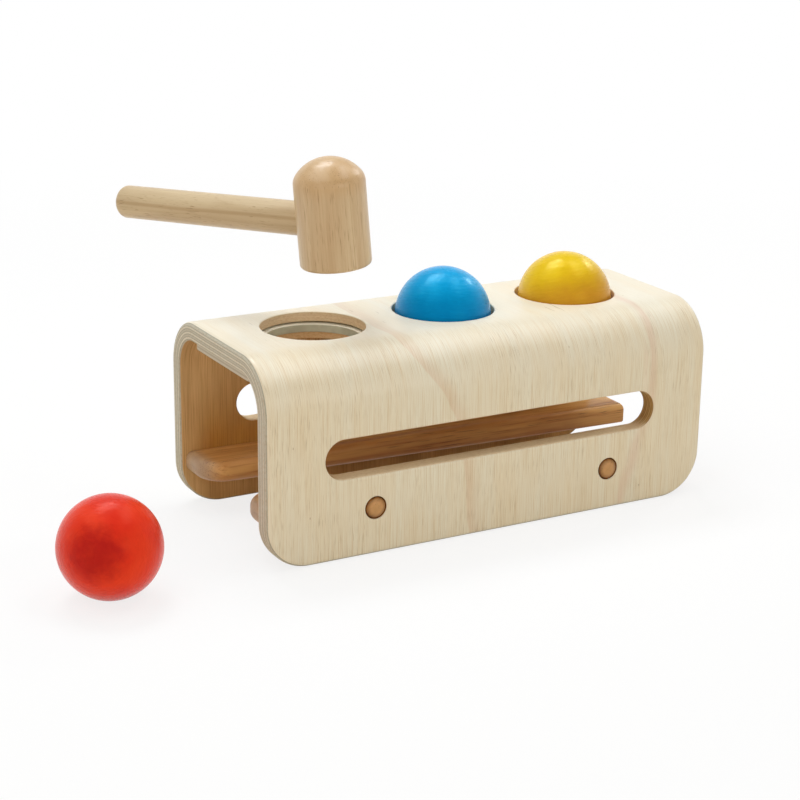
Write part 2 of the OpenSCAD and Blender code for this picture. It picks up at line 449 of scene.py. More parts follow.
@dataclass(frozen=True)
class VeneerFinish:
    """Satin plywood: pale veneer outside, warm veneer inside and fine layers between them at the edges.

    Each span names two wood coordinates between which a look comes in, and each lean a start and a slope.
    """

    name: str
    light: Colour = (0.965, 0.94, 0.87)
    warm: Colour = (0.96, 0.915, 0.82)
    fibre: Colour = (0.88, 0.80, 0.67)
    pore: Colour = (0.75, 0.68, 0.56)
    blush: Colour = (0.90, 0.76, 0.66)
    inside: Colour = (0.96, 0.83, 0.61)
    # Painted shade of the lower inner walls, just above the rails.
    inside_painted_shade: Colour = (0.80, 0.60, 0.29)
    inside_dark: Colour = (0.68, 0.51, 0.29)
    layer_light: Colour = (0.90, 0.88, 0.82)
    layer_dark: Colour = (0.82, 0.80, 0.74)
    glue: Colour = (0.66, 0.64, 0.58)
    slot_light: Colour = (0.82, 0.68, 0.46)
    slot_dark: Colour = (0.76, 0.61, 0.39)
    slot_glue: Colour = (0.54, 0.38, 0.19)
    # Painted light on the slots' straight walls.
    slot_painted_light: Colour = (0.98, 0.91, 0.78)
    pin_hole: Colour = (0.68, 0.42, 0.12)
    cut: Colour = (0.92, 0.82, 0.67)
    ply: float = 8.5
    layers: int = 7
    skin: Span = (0.3, 0.55)
    core: Span = (113.0, 94.5)
    rim_span: Span = (15.0, 17.0)
    line_start: float = -43.0
    line_run: Triple = (36.0, 80.0, 21.0)
    line_lean: Span = (72.0, 0.15)
    streak_start: float = 85.0
    streak_lean: Span = (85.0, 0.34)
    sheen_fade_span: Span = (15.0, 50.0)
    wall_span: Span = (30.0, 60.0)
    slot_painted_light_span: Span = (85.0, 79.0)
    pin_span: Span = (101.0, 105.0)
    shade_reach_span: Span = (66.0, 106.0)
    shade_foot_span: Span = (126.0, 110.0)
    shade_middle_span: Span = (113.0, 98.0)

    def figure(self, recipe: Recipe, colour: bpy.types.NodeSocket) -> bpy.types.NodeSocket:
        """Figure of the sheet: one wavy growth line that fades to its right, and a blushing streak.

        Args:
            recipe: Material that takes the nodes.
            colour: Colour so far.

        Returns:
            The colour.
        """
        down = recipe.times(recipe.part(Axis.ALONG), -1.0)
        across = recipe.part(Axis.ACROSS)
        sway = recipe.noise((0.03, 0.02, 0.0), 2.0, 0.5, shift=(9.0, 1.0, 0.0))
        sway = recipe.times(recipe.less(sway, 0.5), 7.0)
        swayed = recipe.plus(across, sway)
        run = recipe.plus(recipe.step(down, *self.line_run), self.line_start)
        line = recipe.less(swayed, recipe.plus(run, recipe.ramp(down, *self.line_lean)))
        shade = recipe.times(recipe.step(line, -0.5, 0.8), recipe.step(line, 10.0, 0.5, 0.3))
        colour = recipe.mixed(shade, colour, self.blush, Blend.STAIN)
        bow = recipe.less(recipe.ramp(down, *self.streak_lean), self.streak_start)
        streak = recipe.plus(swayed, bow)
        band = recipe.step(recipe.size(streak), 5.5, 0.3, 0.42)
        patch = recipe.step(recipe.noise((0.016, 0.16, 0.0), 3.0, 0.6, shift=(3.0, 7.0, 0.0)), 0.30, 0.56)
        return recipe.mixed(recipe.times(band, patch), colour, self.blush)

    def veneer(self, recipe: Recipe) -> bpy.types.NodeSocket:
        """Outer face: broad tones, soft fibres, pore dashes in drifts and a few ticks, with fibres and
        dashes faded over the top as a painted highlight.

        Args:
            recipe: Material that takes the nodes.

        Returns:
            The colour.
        """
        tone = recipe.noise((0.007, 0.06, 0.0), 3.0, 0.55, 0.4)
        colour = recipe.mixed(recipe.step(tone, 0.3, 0.7), self.light, self.warm)
        # Painted highlight: fibres and pore dashes fade over the top and upper bends, as the sheen there
        # washes them out.
        side = recipe.raised(recipe.size(recipe.part(Axis.ALONG)), *self.sheen_fade_span, 0.3)
        fibre = recipe.noise((0.035, 3.8, 0.0), 3.0, 0.6, shift=(5.0, 3.0, 0.0))
        fibres = recipe.times(recipe.step(fibre, 0.42, 0.76, 0.75), side)
        colour = recipe.mixed(fibres, colour, self.fibre, Blend.STAIN)
        colour = self.figure(recipe, colour)
        drift = recipe.step(recipe.noise((0.02, 0.06, 0.0), 3.0, shift=(4.0, 4.0, 0.0)), 0.3, 0.65)
        dash = recipe.noise((0.11, 4.2, 0.0), 1.0, 0.5, shift=(1.0, 8.0, 0.0))
        dashes = recipe.times(recipe.step(dash, 0.58, 0.74, 0.7), drift)
        colour = recipe.mixed(recipe.times(dashes, side), colour, self.pore, Blend.STAIN)
        tick = recipe.noise((0.3, 1.0, 0.0), 0.0, shift=(7.0, 2.0, 0.0))
        return recipe.mixed(recipe.step(tick, 0.88, 0.91, 0.8), colour, self.pore, Blend.STAIN)

    def edge(self, recipe: Recipe, rim: bpy.types.NodeSocket) -> bpy.types.NodeSocket:
        """Cut edge: layers in turn with thin glue lines, browned at slot ends and pins, with painted light
        that makes the slots' straight walls paler, plain in the holes.

        Args:
            recipe: Material that takes the nodes.
            rim: One along the outline of the sheet and nought in its holes.

        Returns:
            The colour.
        """
        wobble = recipe.less(recipe.noise((0.04, 0.04, 0.0), 2.0), 0.5)
        level = recipe.plus(recipe.part(Axis.DEEP), recipe.times(wobble, 0.5))
        phase = recipe.times(level, self.layers / self.ply)
        turn = recipe.step(recipe.sum(Sum.ZIGZAG, phase, 1.0), 0.4, 0.6)
        gap = recipe.sum(Sum.ZIGZAG, recipe.plus(phase, 0.5), 0.5)
        line = recipe.step(gap, 0.22, 0.04, 0.8)
        border = recipe.mixed(line, recipe.mixed(turn, self.layer_light, self.layer_dark), self.glue)
        slot = recipe.mixed(line, recipe.mixed(turn, self.slot_light, self.slot_dark), self.slot_glue)
        # Painted light: the slots' straight walls are made paler, as the light that falls on the lower one
        # through the slot.
        straight = recipe.step(recipe.size(recipe.part(Axis.ACROSS)), *self.slot_painted_light_span, 0.8)
        slot = recipe.mixed(straight, slot, self.slot_painted_light)
        hole = recipe.mixed(0.85, border, self.cut)
        reach = recipe.size(recipe.part(Axis.ALONG))
        far = recipe.step(reach, *self.wall_span)
        slot = recipe.mixed(recipe.step(reach, *self.pin_span), slot, self.pin_hole)
        colour = recipe.mixed(rim, recipe.mixed(far, hole, slot), border)
        fibre = recipe.noise((0.7, 0.7, 2.2), 3.0, 0.6)
        return recipe.mixed(recipe.step(fibre, 0.42, 0.72, 0.5), colour, self.fibre, Blend.STAIN)

    def inner(self, recipe: Recipe) -> bpy.types.NodeSocket:
        """Inner face: warmer wood with long fine streaks, and painted shade that darkens the lower walls
        just above the rails.

        Args:
            recipe: Material that takes the nodes.

        Returns:
            The colour.
        """
        tone = recipe.noise((0.01, 0.07, 0.0), 2.0, 0.5, 0.3, (6.0, 2.0, 0.0))
        streak = recipe.noise((0.03, 2.0, 0.0), 4.0, 0.65, 0.2, (2.0, 2.0, 0.0))
        reach = recipe.size(recipe.part(Axis.ALONG))
        # Painted shade: darker down the inner walls toward the rails, eased near the foot and near the
        # ends.
        under = recipe.raised(reach, *self.shade_foot_span, 0.4)
        middle = recipe.raised(recipe.size(recipe.part(Axis.ACROSS)), *self.shade_middle_span, 0.3)
        low = recipe.times(recipe.step(reach, *self.shade_reach_span), recipe.times(under, middle))
        colour = recipe.mixed(low, self.inside, self.inside_painted_shade)
        colour = recipe.mixed(recipe.step(tone, 0.3, 0.75, 0.5), colour, self.inside_dark)
        return recipe.mixed(recipe.step(streak, 0.40, 0.76, 0.55), colour, self.inside_dark, Blend.STAIN)

    def outside(self, recipe: Recipe) -> bpy.types.NodeSocket:
        """One where a place lies near the outline: its distance from the sheet's core is almost full.

        Args:
            recipe: Material that takes the nodes.

        Returns:
            The share.
        """
        far = recipe.vector_sum(Sum.SIZE, recipe.grain)
        past = recipe.vector_sum(Sum.SUBTRACT, far, (*self.core, NOWHERE))
        held = recipe.vector_sum(Sum.LARGER, past)
        return recipe.step(recipe.vector_sum(Sum.LENGTH, held), *self.rim_span)

    def material(self) -> bpy.types.Material:
        """Mixes both faces and the layers by the depth in the sheet.

        Returns:
            The material.
        """
        recipe = Recipe(self.name)
        depth = recipe.part(Axis.DEEP)
        rim = self.outside(recipe)
        skin = recipe.step(depth, *self.skin)
        colour = recipe.mixed(skin, self.veneer(recipe), self.edge(recipe, rim))
        back = recipe.step(depth, *moved(FACE_SPAN, self.ply))
        colour = recipe.mixed(back, colour, self.inner(recipe))
        relief = recipe.noise((0.12, 2.4, 0.6), 3.0, 0.6, shift=(1.0, 8.0, 0.0))
        gloss = recipe.step(recipe.noise((0.03, 0.4, 0.4), 2.0), 0.2, 0.8, 0.08)
        dull = recipe.raised(depth, 0.3, 0.8, 0.27, 0.82)
        recipe.finish(colour, recipe.plus(gloss, dull), relief, 0.02, 0.4)
        return recipe.material


@dataclass(frozen=True)
class BoardFinish:
    """Plain plywood of the ring board: warm faces, and a pale layered edge at both ends."""

    name: str
    face: Colour = (0.90, 0.72, 0.46)
    face_dark: Colour = (0.76, 0.56, 0.32)
    layer_light: Colour = (0.84, 0.81, 0.74)
    layer_dark: Colour = (0.75, 0.72, 0.64)
    hole: Colour = (0.93, 0.79, 0.60)
    thickness: float = 4.4
    layers: int = 5
    half_length: float = 112.7
    end_span: Span = (-2.0, -1.0)

    def material(self) -> bpy.types.Material:
        """Mixes the faces, the layers at the ends and the tanned hole walls.

        Returns:
            The material.
        """
        recipe = Recipe(self.name)
        depth = recipe.part(Axis.DEEP)
        streak = recipe.noise((0.02, 0.9, 0.0), 4.0, 0.65, 0.2)
        face = recipe.mixed(recipe.step(streak, 0.4, 0.75), self.face, self.face_dark)
        turn = recipe.sum(Sum.ZIGZAG, recipe.times(depth, self.layers / self.thickness), 1.0)
        layers = recipe.mixed(recipe.step(turn, 0.35, 0.65), self.layer_light, self.layer_dark)
        fibre = recipe.noise((0.7, 0.7, 2.2), 3.0, 0.6)
        wall = recipe.mixed(recipe.step(fibre, 0.4, 0.75, 0.5), self.hole, self.face_dark)
        along = recipe.size(recipe.part(Axis.ALONG))
        end = recipe.step(along, *moved(self.end_span, self.half_length))
        edge = recipe.mixed(end, wall, layers)
        half = self.thickness / 2
        middle = recipe.size(recipe.less(depth, half))
        colour = recipe.mixed(recipe.step(middle, *moved(FACE_SPAN, half)), edge, face)
        recipe.finish(colour, 0.5, fibre, 0.04, 0.35)
        return recipe.material


@dataclass(frozen=True)
class WoodFinish:
    """Solid wood with its grain along the piece: streaks, faint rings and pores."""

    name: str
    light: Colour
    dark: Colour
    pore: Colour
    end: Colour
    end_span: Span = (0.9 * NOWHERE, NOWHERE)
    pores: float = 0.6
    dash: Span = (0.09, 2.2)
    streaks: float = 0.5
    fineness: float = 0.75
    vein: float = NOWHERE
    rings: float = 0.15
    ring_gap: float = 4.0
    pith: Span = (34.0, 21.0)
    roughness: float = 0.28
    specular: float = 0.45

    def material(self) -> bpy.types.Material:
        """Mixes tones, streaks, growth rings about a far pith, a vein, pore dashes and the end's tint.

        Returns:
            The material.
        """
        recipe = Recipe(self.name)
        tone = recipe.noise((0.008, 0.09, 0.09), 3.0, 0.5, 0.4)
        colour = recipe.mixed(recipe.step(tone, 0.32, 0.7), self.light, self.dark)
        streak = recipe.noise((0.022, self.fineness, self.fineness), 4.0, 0.62, shift=(3.0, 1.0, 2.0))
        colour = recipe.mixed(recipe.step(streak, 0.48, 0.78, self.streaks), colour, self.dark, Blend.STAIN)
        first = recipe.sum(Sum.POWER, recipe.less(recipe.part(Axis.ACROSS), self.pith[0]), 2.0)
        second = recipe.sum(Sum.POWER, recipe.less(recipe.part(Axis.DEEP), self.pith[1]), 2.0)
        away = recipe.sum(Sum.ROOT, recipe.plus(first, second))
        sway = recipe.times(recipe.noise((0.012, 0.05, 0.05), 2.0, shift=(7.0, 5.0, 1.0)), 6.0)
        turn = recipe.sum(Sum.FRACTION, recipe.sum(Sum.DIVIDE, recipe.plus(away, sway), self.ring_gap))
        ring = recipe.times(recipe.step(turn, 0.4, 0.9), recipe.step(turn, 1.0, 0.9, self.rings))
        colour = recipe.mixed(ring, colour, self.dark, Blend.STAIN)
        stray = recipe.less(recipe.times(sway, 0.4), self.vein + 1.2)
        beside = recipe.size(recipe.plus(recipe.part(Axis.DEEP), stray))
        colour = recipe.mixed(recipe.step(beside, 1.3, 0.2, 0.4), colour, self.dark, Blend.STAIN)
        tip = recipe.step(recipe.part(Axis.ALONG), *self.end_span, 0.65)
        colour = recipe.mixed(tip, colour, self.end)
        dash = recipe.noise((*self.dash, self.dash[1]), 1.0, 0.5, shift=(2.0, 6.0, 4.0))
        drift = recipe.noise((0.03, 0.14, 0.14), 2.0, shift=(1.0, 4.0, 8.0))
        drift = recipe.step(drift, 0.34, 0.62, self.pores)
        dashes = recipe.times(recipe.step(dash, 0.6, 0.76), drift)
        colour = recipe.mixed(dashes, colour, self.pore, Blend.STAIN)
        gloss = recipe.step(streak, 0.2, 0.8, 0.1)
        recipe.finish(colour, recipe.plus(gloss, self.roughness), dash, 0.04, self.specular)
        return recipe.material


@dataclass(frozen=True)
class RubberFinish:
    """Matt moulded rubber, faintly mottled, with a painted highlight as a pale band along its lip."""

    name: str
    light: Colour = (0.80, 0.81, 0.73)
    dark: Colour = (0.74, 0.74, 0.66)
    # Painted highlight along the top of the ring.
    lip: Colour = (0.95, 0.94, 0.88)
    highlight_level: float = 2.5

    def material(self) -> bpy.types.Material:
        """Mixes two tones by a soft mottle and paints a highlight on the lip by height, with a fine moulded
        grain.

        Returns:
            The material.
        """
        recipe = Recipe(self.name)
        mottle = recipe.noise((0.15, 0.15, 0.15), 3.0)
        colour = recipe.mixed(recipe.step(mottle, 0.3, 0.7), self.light, self.dark)
        lip = recipe.step(recipe.part(Axis.ALONG), self.highlight_level, self.highlight_level + 0.2)
        colour = recipe.mixed(lip, colour, self.lip)
        recipe.finish(colour, 0.55, recipe.noise((3.0, 3.0, 3.0), 2.0), 0.02, 0.3)
        return recipe.material


@dataclass(frozen=True)
class PaintFinish:
    """Satin paint on turned wood: fine turning marks, and painted shade that darkens it toward one pole."""

    name: str
    light: Colour
    dark: Colour
    # Painted shade toward the pole.
    pole: Colour
    gloss: Colour
    span: Span
    roughness: float = 0.20
    specular: float = 0.5

    def material(self) -> bpy.types.Material:
        """Mixes two near tones and painted shade toward one pole, with marks round the turning axis and
        fine specks.

        Returns:
            The material.
        """
        recipe = Recipe(self.name)
        coat = recipe.noise((0.05, 0.035, 0.035), 3.0, 0.5, 0.4)
        colour = recipe.mixed(recipe.step(coat, 0.34, 0.68), self.light, self.dark)
        ragged = recipe.times(recipe.noise((0.1, 0.16, 0.16), 3.0, 0.6, shift=(4.0, 1.0, 6.0)), 6.0)
        near = recipe.plus(recipe.part(Axis.ALONG), ragged)
        # Painted shade: the paint darkens toward the pole, wherever the ball's axis sets it.
        colour = recipe.mixed(recipe.step(near, *self.span, 0.75), colour, self.pole)
        marks = recipe.noise((1.2, 0.12, 0.12), 3.0, 0.55, 0.3, (2.0, 5.0, 1.0))
        speck = recipe.noise((1.6, 1.6, 1.6), 2.0, 0.5)
        height = recipe.plus(marks, recipe.times(speck, 0.4))
        rubbed = recipe.step(recipe.noise((0.4, 0.08, 0.08), 2.0), 0.25, 0.75, 0.14)
        recipe.finish(colour, recipe.plus(rubbed, self.roughness), height, 0.12, self.specular)
        recipe.feed(recipe.shader.inputs["Specular Tint"], tint(self.gloss))
        return recipe.material


class Paint(Enum):
    """The paints of the three balls."""

    RED = PaintFinish(
        "red_satin_paint",
        light=(0.96, 0.27, 0.15),
        dark=(0.91, 0.20, 0.13),
        pole=(0.68, 0.05, 0.11),
        gloss=(1.0, 0.50, 0.32),
        span=(20.0, 26.0),
        specular=0.3,
    )
    BLUE = PaintFinish(
        "blue_satin_paint",
        light=(0.06, 0.67, 0.915),
        dark=(0.03, 0.63, 0.88),
        pole=(0.0, 0.465, 0.755),
        gloss=(0.20, 0.90, 1.0),
        span=(-13.0, 4.0),
        specular=0.4,
    )
    YELLOW = PaintFinish(
        "yellow_satin_paint",
        light=(0.95, 0.81, 0.10),
        dark=(0.93, 0.76, 0.11),
        pole=(0.82, 0.54, 0.19),
        gloss=(1.0, 0.92, 0.30),
        span=(-13.0, 4.0),
        specular=0.4,
    )


Finish = VeneerFinish | BoardFinish | WoodFinish | RubberFinish | PaintFinish


@cache
def material_of(finish: Finish) -> bpy.types.Material:
    """Material of a finish, made once for all the pieces that share it."""
    return finish.material()


class Assembly:
    """A sub-assembly of the toy: its pieces stand for CAD nodes and ride on one body."""

    body: ClassVar[Body]
    slot: ClassVar[Slot]

    def build(self) -> dict[str, bpy.types.Object]:
        """Meshes of the pieces, by the CAD node that each stands for."""
        raise NotImplementedError

    def finish(self, node: str) -> Finish:
        """Finish of the piece that stands for a node."""
        raise NotImplementedError

    def dress(self, node: str, piece: bpy.types.Object) -> None:
        """Gives a piece its finish and puts it in the place of its node.

        Args:
            node: CAD node that the piece stands for.
            piece: The piece.
        """
        piece.data.materials.append(material_of(self.finish(node)))
        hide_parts(node)
        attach(piece, self.body.value)

    def make(self) -> list[bpy.types.Object]:
        """Builds and dresses every piece.

        Returns:
            The finished pieces.
        """
        pieces = self.build()
        for node, piece in pieces.items():
            self.dress(node, piece)
        return list(pieces.values())


class Quilt:
    """Grids of points that are sewn into one closed mesh."""

    def __init__(self) -> None:
        """Starts with no grids."""
        self.points: list[Array] = []
        self.grain: list[Array] = []
        self.quads: list[Array] = []
        self.count = 0

    def add(self, points: Array, grain: Array, closed: bool = False) -> None:
        """Adds a surface of two parameters, one along the rows and one along the columns.

        Args:
            points: Grid of places, rows by columns by 3.
            grain: Grid of wood coordinates of the same shape.
            closed: Whether the last column joins the first.
        """
        rows, columns = points.shape[:2]
        index = np.arange(rows * columns).reshape(rows, columns) + self.count
        if closed:
            index = np.concatenate([index, index[:, :1]], axis=1)
        corners = [index[:-1, :-1], index[1:, :-1], index[1:, 1:], index[:-1, 1:]]
        self.quads.append(np.stack(corners, axis=-1).reshape(-1, 4))
        self.points.append(points.reshape(-1, 3))
        self.grain.append(grain.reshape(-1, 3))
        self.count += rows * columns

    def sew(self, node: str) -> bpy.types.Object:
        """Makes the mesh: merges the grids' shared rims and turns every face outward.

        Args:
            node: CAD node that the new object stands for.

        Returns:
            The object, at the origin, with its wood coordinates as an attribute.
        """
        name = f"{node}_finished"
        points = np.concatenate(self.points) * MM
        grain = np.concatenate(self.grain)
        quads = np.concatenate(self.quads)
        mesh = bpy.data.meshes.new(name)
        mesh.vertices.add(len(points))
        mesh.vertices.foreach_set("co", points.ravel())
        mesh.loops.add(quads.size)
        mesh.loops.foreach_set("vertex_index", quads.ravel())
        mesh.polygons.add(len(quads))
        mesh.polygons.foreach_set("loop_start", np.arange(0, quads.size, 4))
        mesh.update(calc_edges=True)
        mesh.attributes.new(GRAIN, "FLOAT_VECTOR", "POINT").data.foreach_set("vector", grain.ravel())
        form = bmesh.new()
        form.from_mesh(mesh)
        bmesh.ops.remove_doubles(form, verts=form.verts, dist=WELD)
        bmesh.ops.recalc_face_normals(form, faces=form.faces)
        form.to_mesh(mesh)
        form.free()
        mesh.shade_smooth()
        mesh.set_sharp_from_angle(angle=SHARP)
        piece = bpy.data.objects.new(name, mesh)
        bpy.context.scene.collection.objects.link(piece)
        return piece

    def piece(self, node: str) -> dict[str, bpy.types.Object]:
        """The sewn mesh, by the node that it stands for."""
        return {node: self.sew(node)}


def grid(first: Array, second: Array) -> Array:
    """Flat grid of every pair of the two rows of values."""
    return np.stack(np.meshgrid(first, second, indexing="ij"), axis=-1)


def pairs(first: Array | float, second: Array | float) -> Array:
    """Pairs of two rows of values, of which one may be a single value for all."""
    return np.column_stack(np.broadcast_arrays(first, second))


def rectangle_loop(along: Array, across: Array) -> Array:
    """Goes round a rectangle from its low corner, side by side.

    Args:
        along: Values that divide the two sides along the first direction.
        across: Values that divide the other two sides.

    Returns:
        The points, once round and not closed.
    """
    low = pairs(along[:-1], across[0])
    right = pairs(along[-1], across[:-1])
    high = pairs(along[:0:-1], across[-1])
    left = pairs(along[0], across[:0:-1])
    return np.concatenate([low, right, high, left])


def circle_loop(centre: Span | Array, radius: float, count: int) -> Array:
    """Circle by equal angles, from the direction of a rectangle's low corner.

    Args:
        centre: Middle of the circle.
        radius: Its radius.
        count: Number of points.

    Returns:
        The points, once round and not closed.
    """
    angle = LOW_CORNER + FULL_TURN * np.arange(count) / count
    return pairs(centre[0] + radius * np.cos(angle), centre[1] + radius * np.sin(angle))


def spread(inner: Array, outer: Array, shares: Array) -> Array:
    """Ruled surface between two loops: each row is the blend of both by its share."""
    return inner[None] + shares[:, None, None] * (outer - inner)[None]


def coons(first: Array, last: Array, start: Array, finish: Array) -> Array:
    """Patch between four curves: the two ruled surfaces added, less the plane of the corners.

    Args:
        first: Curve at the start of the second parameter.
        last: Curve at its end.
        start: Curve at the start of the first parameter.
        finish: Curve at its end.

    Returns:
        The grid, as many rows as first has points and as many columns as start has.
    """
    u = np.linspace(0, 1, len(first))[:, None, None]
    v = np.linspace(0, 1, len(start))[None, :, None]
    along = (1 - v) * first[:, None] + v * last[:, None]
    across = (1 - u) * start[None] + u * finish[None]
    low = (1 - u) * first[0] + u * first[-1]
    high = (1 - u) * last[0] + u * last[-1]
    return along + across - (1 - v) * low - v * high


def quarter_round(radius: float, steps: int) -> Array:
    """Rounding of a rim by equal angles, from a face to the edge's straight.

    Args:
        radius: Its radius.
        steps: Number of divisions.

    Returns:
        Pairs of the distance outward from the face's rim and the depth below that face.
    """
    turn = np.linspace(0, QUARTER_TURN, steps + 1)
    return radius * pairs(np.sin(turn), 1 - np.cos(turn))


def edge_profile(first: float, second: float, thickness: float, steps: int = 6) -> Array:
    """Edge of a sheet: a quarter round, a straight and another quarter round.

    Args:
        first: Radius at the first face.
        second: Radius at the second face.
        thickness: Thickness of the sheet.
        steps: Divisions of a quarter round.

    Returns:
        Pairs of the distance outward from the first face's rim and the depth below that face.
    """
    turn = np.linspace(0, QUARTER_TURN, steps + 1)
    straight = np.linspace(first, thickness - second, STRAIGHT)[1:-1]
    lower = pairs(first - second * (1 - np.cos(turn)), thickness - second * (1 - np.sin(turn)))
    return np.concatenate([quarter_round(first, steps), pairs(first, straight), lower])


def toward_core(loop: Array, core: Array) -> Array:
    """Unit directions that leave a rectangle about the origin, for points round it.

    Args:
        loop: Points outside the rectangle.
        core: Half sizes of the rectangle.

    Returns:
        One direction for each point.
    """
    away = loop - np.clip(loop, -core, core)
    return away / np.linalg.norm(away, axis=1, keepdims=True)


class Sheet(Assembly):
    """A board that is drawn flat, as places along, across and in depth, and lifted into shape."""

    body: ClassVar[Body] = Body.TOY

    def lift(self, flat: Array, depth: Array) -> Array:
        """Places in the part's frame of flat places at a depth below the outer face."""
        raise NotImplementedError

    def wood(self, flat: Array, depth: Array) -> Array:
        """Wood coordinates with the grain along the board."""
        return np.stack([flat[..., 0], flat[..., 1], depth], axis=-1)

    def lay(self, quilt: Quilt, flat: Array, depth: Array | float, closed: bool = False) -> None:
        """Adds a flat grid at a depth.

        Args:
            quilt: Mesh that takes the grid.
            flat: Flat places, along and across.
            depth: Depth of the whole grid or of each place.
            closed: Whether the last column joins the first.
        """
        level = np.broadcast_to(depth, flat.shape[:-1])
        quilt.add(self.lift(flat, level), self.wood(flat, level), closed)

    def carry(self, quilt: Quilt, loop: Array, outward: Array, profile: Array) -> None:
        """Carries an edge profile along a closed loop: each of its points goes outward and down.

        Args:
            quilt: Mesh that takes the edge.
            loop: Rim of the outer face.
            outward: Unit direction out of the sheet at each point of the loop.
            profile: Pairs of outward distance and depth.
        """
        flat = loop[None] + profile[:, 0, None, None] * outward[None]
        self.lay(quilt, flat, profile[:, 1, None], closed=True)

    def bore(self, quilt: Quilt, ring: Array, centre: Array, profile: Array) -> None:
        """Carries an edge profile through a round hole: its points go toward the hole's middle.

        Args:
            quilt: Mesh that takes the hole's wall.
            ring: Rim of the hole in the outer face.
            centre: Middle of the hole.
            profile: Pairs of distance toward the middle and depth.
        """
        self.carry(quilt, ring, -toward_core(ring - centre, np.zeros(2)), profile)


@dataclass
class BodyShell(Sheet):
    """The plywood body: one sheet bent to a U, with ball holes, slots and pin holes."""

    slot: ClassVar[Slot] = Slot.BODY
    length: float = 231.0
    width: float = 101.8
    height: float = 93.4
    ply: float = 8.5
    bend: float = 24.0
    foot: float = 21.0
    pitch: float = PITCH
    hole: float = 24.0
    seat: float = 29.0
    lip: float = 4.7
    slot_core: float = 77.5
    slot_radius: float = 9.05
    slot_level: float = 46.65
    slot_margin: float = 14.5
    foot_margin: float = 10.0
    pin_hole: float = 5.3
    pin_hole_depth: float = 5.2
    pin_bore: float = 4.1
    pin_places: tuple[Span, ...] = ((-61.99, 21.9), (62.0, 20.0))
    middle_y: float = MIDDLE_Y
    outer_round: float = 2.3
    inner_round: float = 1.0
    hole_round: float = 0.5
    lip_round: float = 0.3
    slot_round: float = 1.3
    pin_round: float = 0.5
    cell: int = 32
    bend_rows: int = 24
    slot_rows: int = 16
    pin_cell: int = 10
    pin_start: int = 24
    corner_cell: int = 4
    round_steps: int = 5

    def __post_init__(self) -> None:
        """Sets the lines that divide the sheet into cells round its holes."""
        self.flat_half = self.width / 2 - self.bend
        self.reach = self.flat_half + self.bend * QUARTER_TURN + self.height - self.bend
        self.core = np.array([self.length / 2 - self.foot, self.reach - self.foot])
        half = self.pitch / 2
        slot = self.reach - self.slot_level
        self.lines = np.linspace(-3 * half, 3 * half, 3 * self.cell + 1)
        self.top_cross = np.linspace(-half, half, self.cell + 1)
        above, below = slot - self.slot_margin, slot + self.slot_margin
        self.bend_cross = np.linspace(half, above, self.bend_rows + 1)
        self.slot_cross = np.linspace(above, below, self.slot_rows + 1)
        self.pin_cross = np.linspace(below, self.reach - self.foot_margin, self.pin_cell + 1)
        self.corner_lines = self.lines[-self.corner_cell - 1 :]
        self.hole_shares = np.array([0, 0.04, 0.12, 0.27, 0.48, 0.74, 1.0])
        self.rim_shares = np.array([0, 0.3, 0.55, 0.76, 0.9, 0.97, 1.0])

    def lift(self, flat: Array, depth: Array) -> Array:
        """Bends the sheet: level over the top, round the bend by arc length, then straight down.

        Args:
            flat: Places along the body and across the U, measured on the outer face from its middle.
            depth: Depth below the outer face.

        Returns:
            Places in the part's frame.
        """
        across = np.abs(flat[..., 1])
        turn = np.clip((across - self.flat_half) / self.bend, 0, QUARTER_TURN)
        down = np.maximum(across - self.flat_half - self.bend * QUARTER_TURN, 0)
        y = np.minimum(across, self.flat_half) + (self.bend - depth) * np.sin(turn)
        z = self.height - self.bend + (self.bend - depth) * np.cos(turn) - down
        return np.stack([flat[..., 0], self.middle_y + np.sign(flat[..., 1]) * y, z], axis=-1)

    def wood(self, flat: Array, depth: Array) -> Array:
        """Wood coordinates with the veneer's grain across the U."""
        return np.stack([flat[..., 1], flat[..., 0], depth], axis=-1)

    def corner(self, margin: float, travel: Array) -> Array:
        """Foot corner of the outline: down the end, round the corner and along the foot.

        Args:
            margin: Distance inside the outline.
            travel: Lengths gone along the outline itself, from the slot cell's lower line.

        Returns:
            Flat places.
        """
        straight = self.core[1] - self.slot_cross[-1]
        turn = np.clip((travel - straight) / self.foot, 0, QUARTER_TURN)
        past = np.maximum(travel - straight - self.foot * QUARTER_TURN, 0)
        x = self.core[0] + (self.foot - margin) * np.cos(turn) - past
        s = self.core[1] + (self.foot - margin) * np.sin(turn) + np.minimum(travel - straight, 0)
        return pairs(x, s)

    def corner_sides(self, margin: float) -> tuple[Array, Array]:
        """Both sides of the foot corner, each up to the middle of its round.

        Args:
            margin: Distance inside the outline.

        Returns:
            The side that comes down the end, and the side that comes back along the foot.
        """
        straight = self.core[1] - self.slot_cross[-1]
        middle = straight + self.foot * QUARTER_TURN / 2
        end = straight + self.foot * QUARTER_TURN + self.core[0] - self.corner_lines[0]
        rows = len(self.pin_cross) + len(self.rim_shares) - 1
        columns = self.corner_cell + len(self.rim_shares)
        down = self.corner(margin, np.linspace(0, middle, rows))
        back = self.corner(margin, np.linspace(end, middle, columns))
        return down, back

    def rims(self, margin: float) -> tuple[Array, Array]:
        """Lines of the strip at an end and of the strip at a foot.

        Args:
            margin: Distance inside the outline.

        Returns:
            The places of the end's lines and of the foot's lines.
        """
        ends = self.lines[-1] + (self.length / 2 - margin - self.lines[-1]) * self.rim_shares
        feet = self.pin_cross[-1] + (self.reach - margin - self.pin_cross[-1]) * self.rim_shares
        return ends, feet

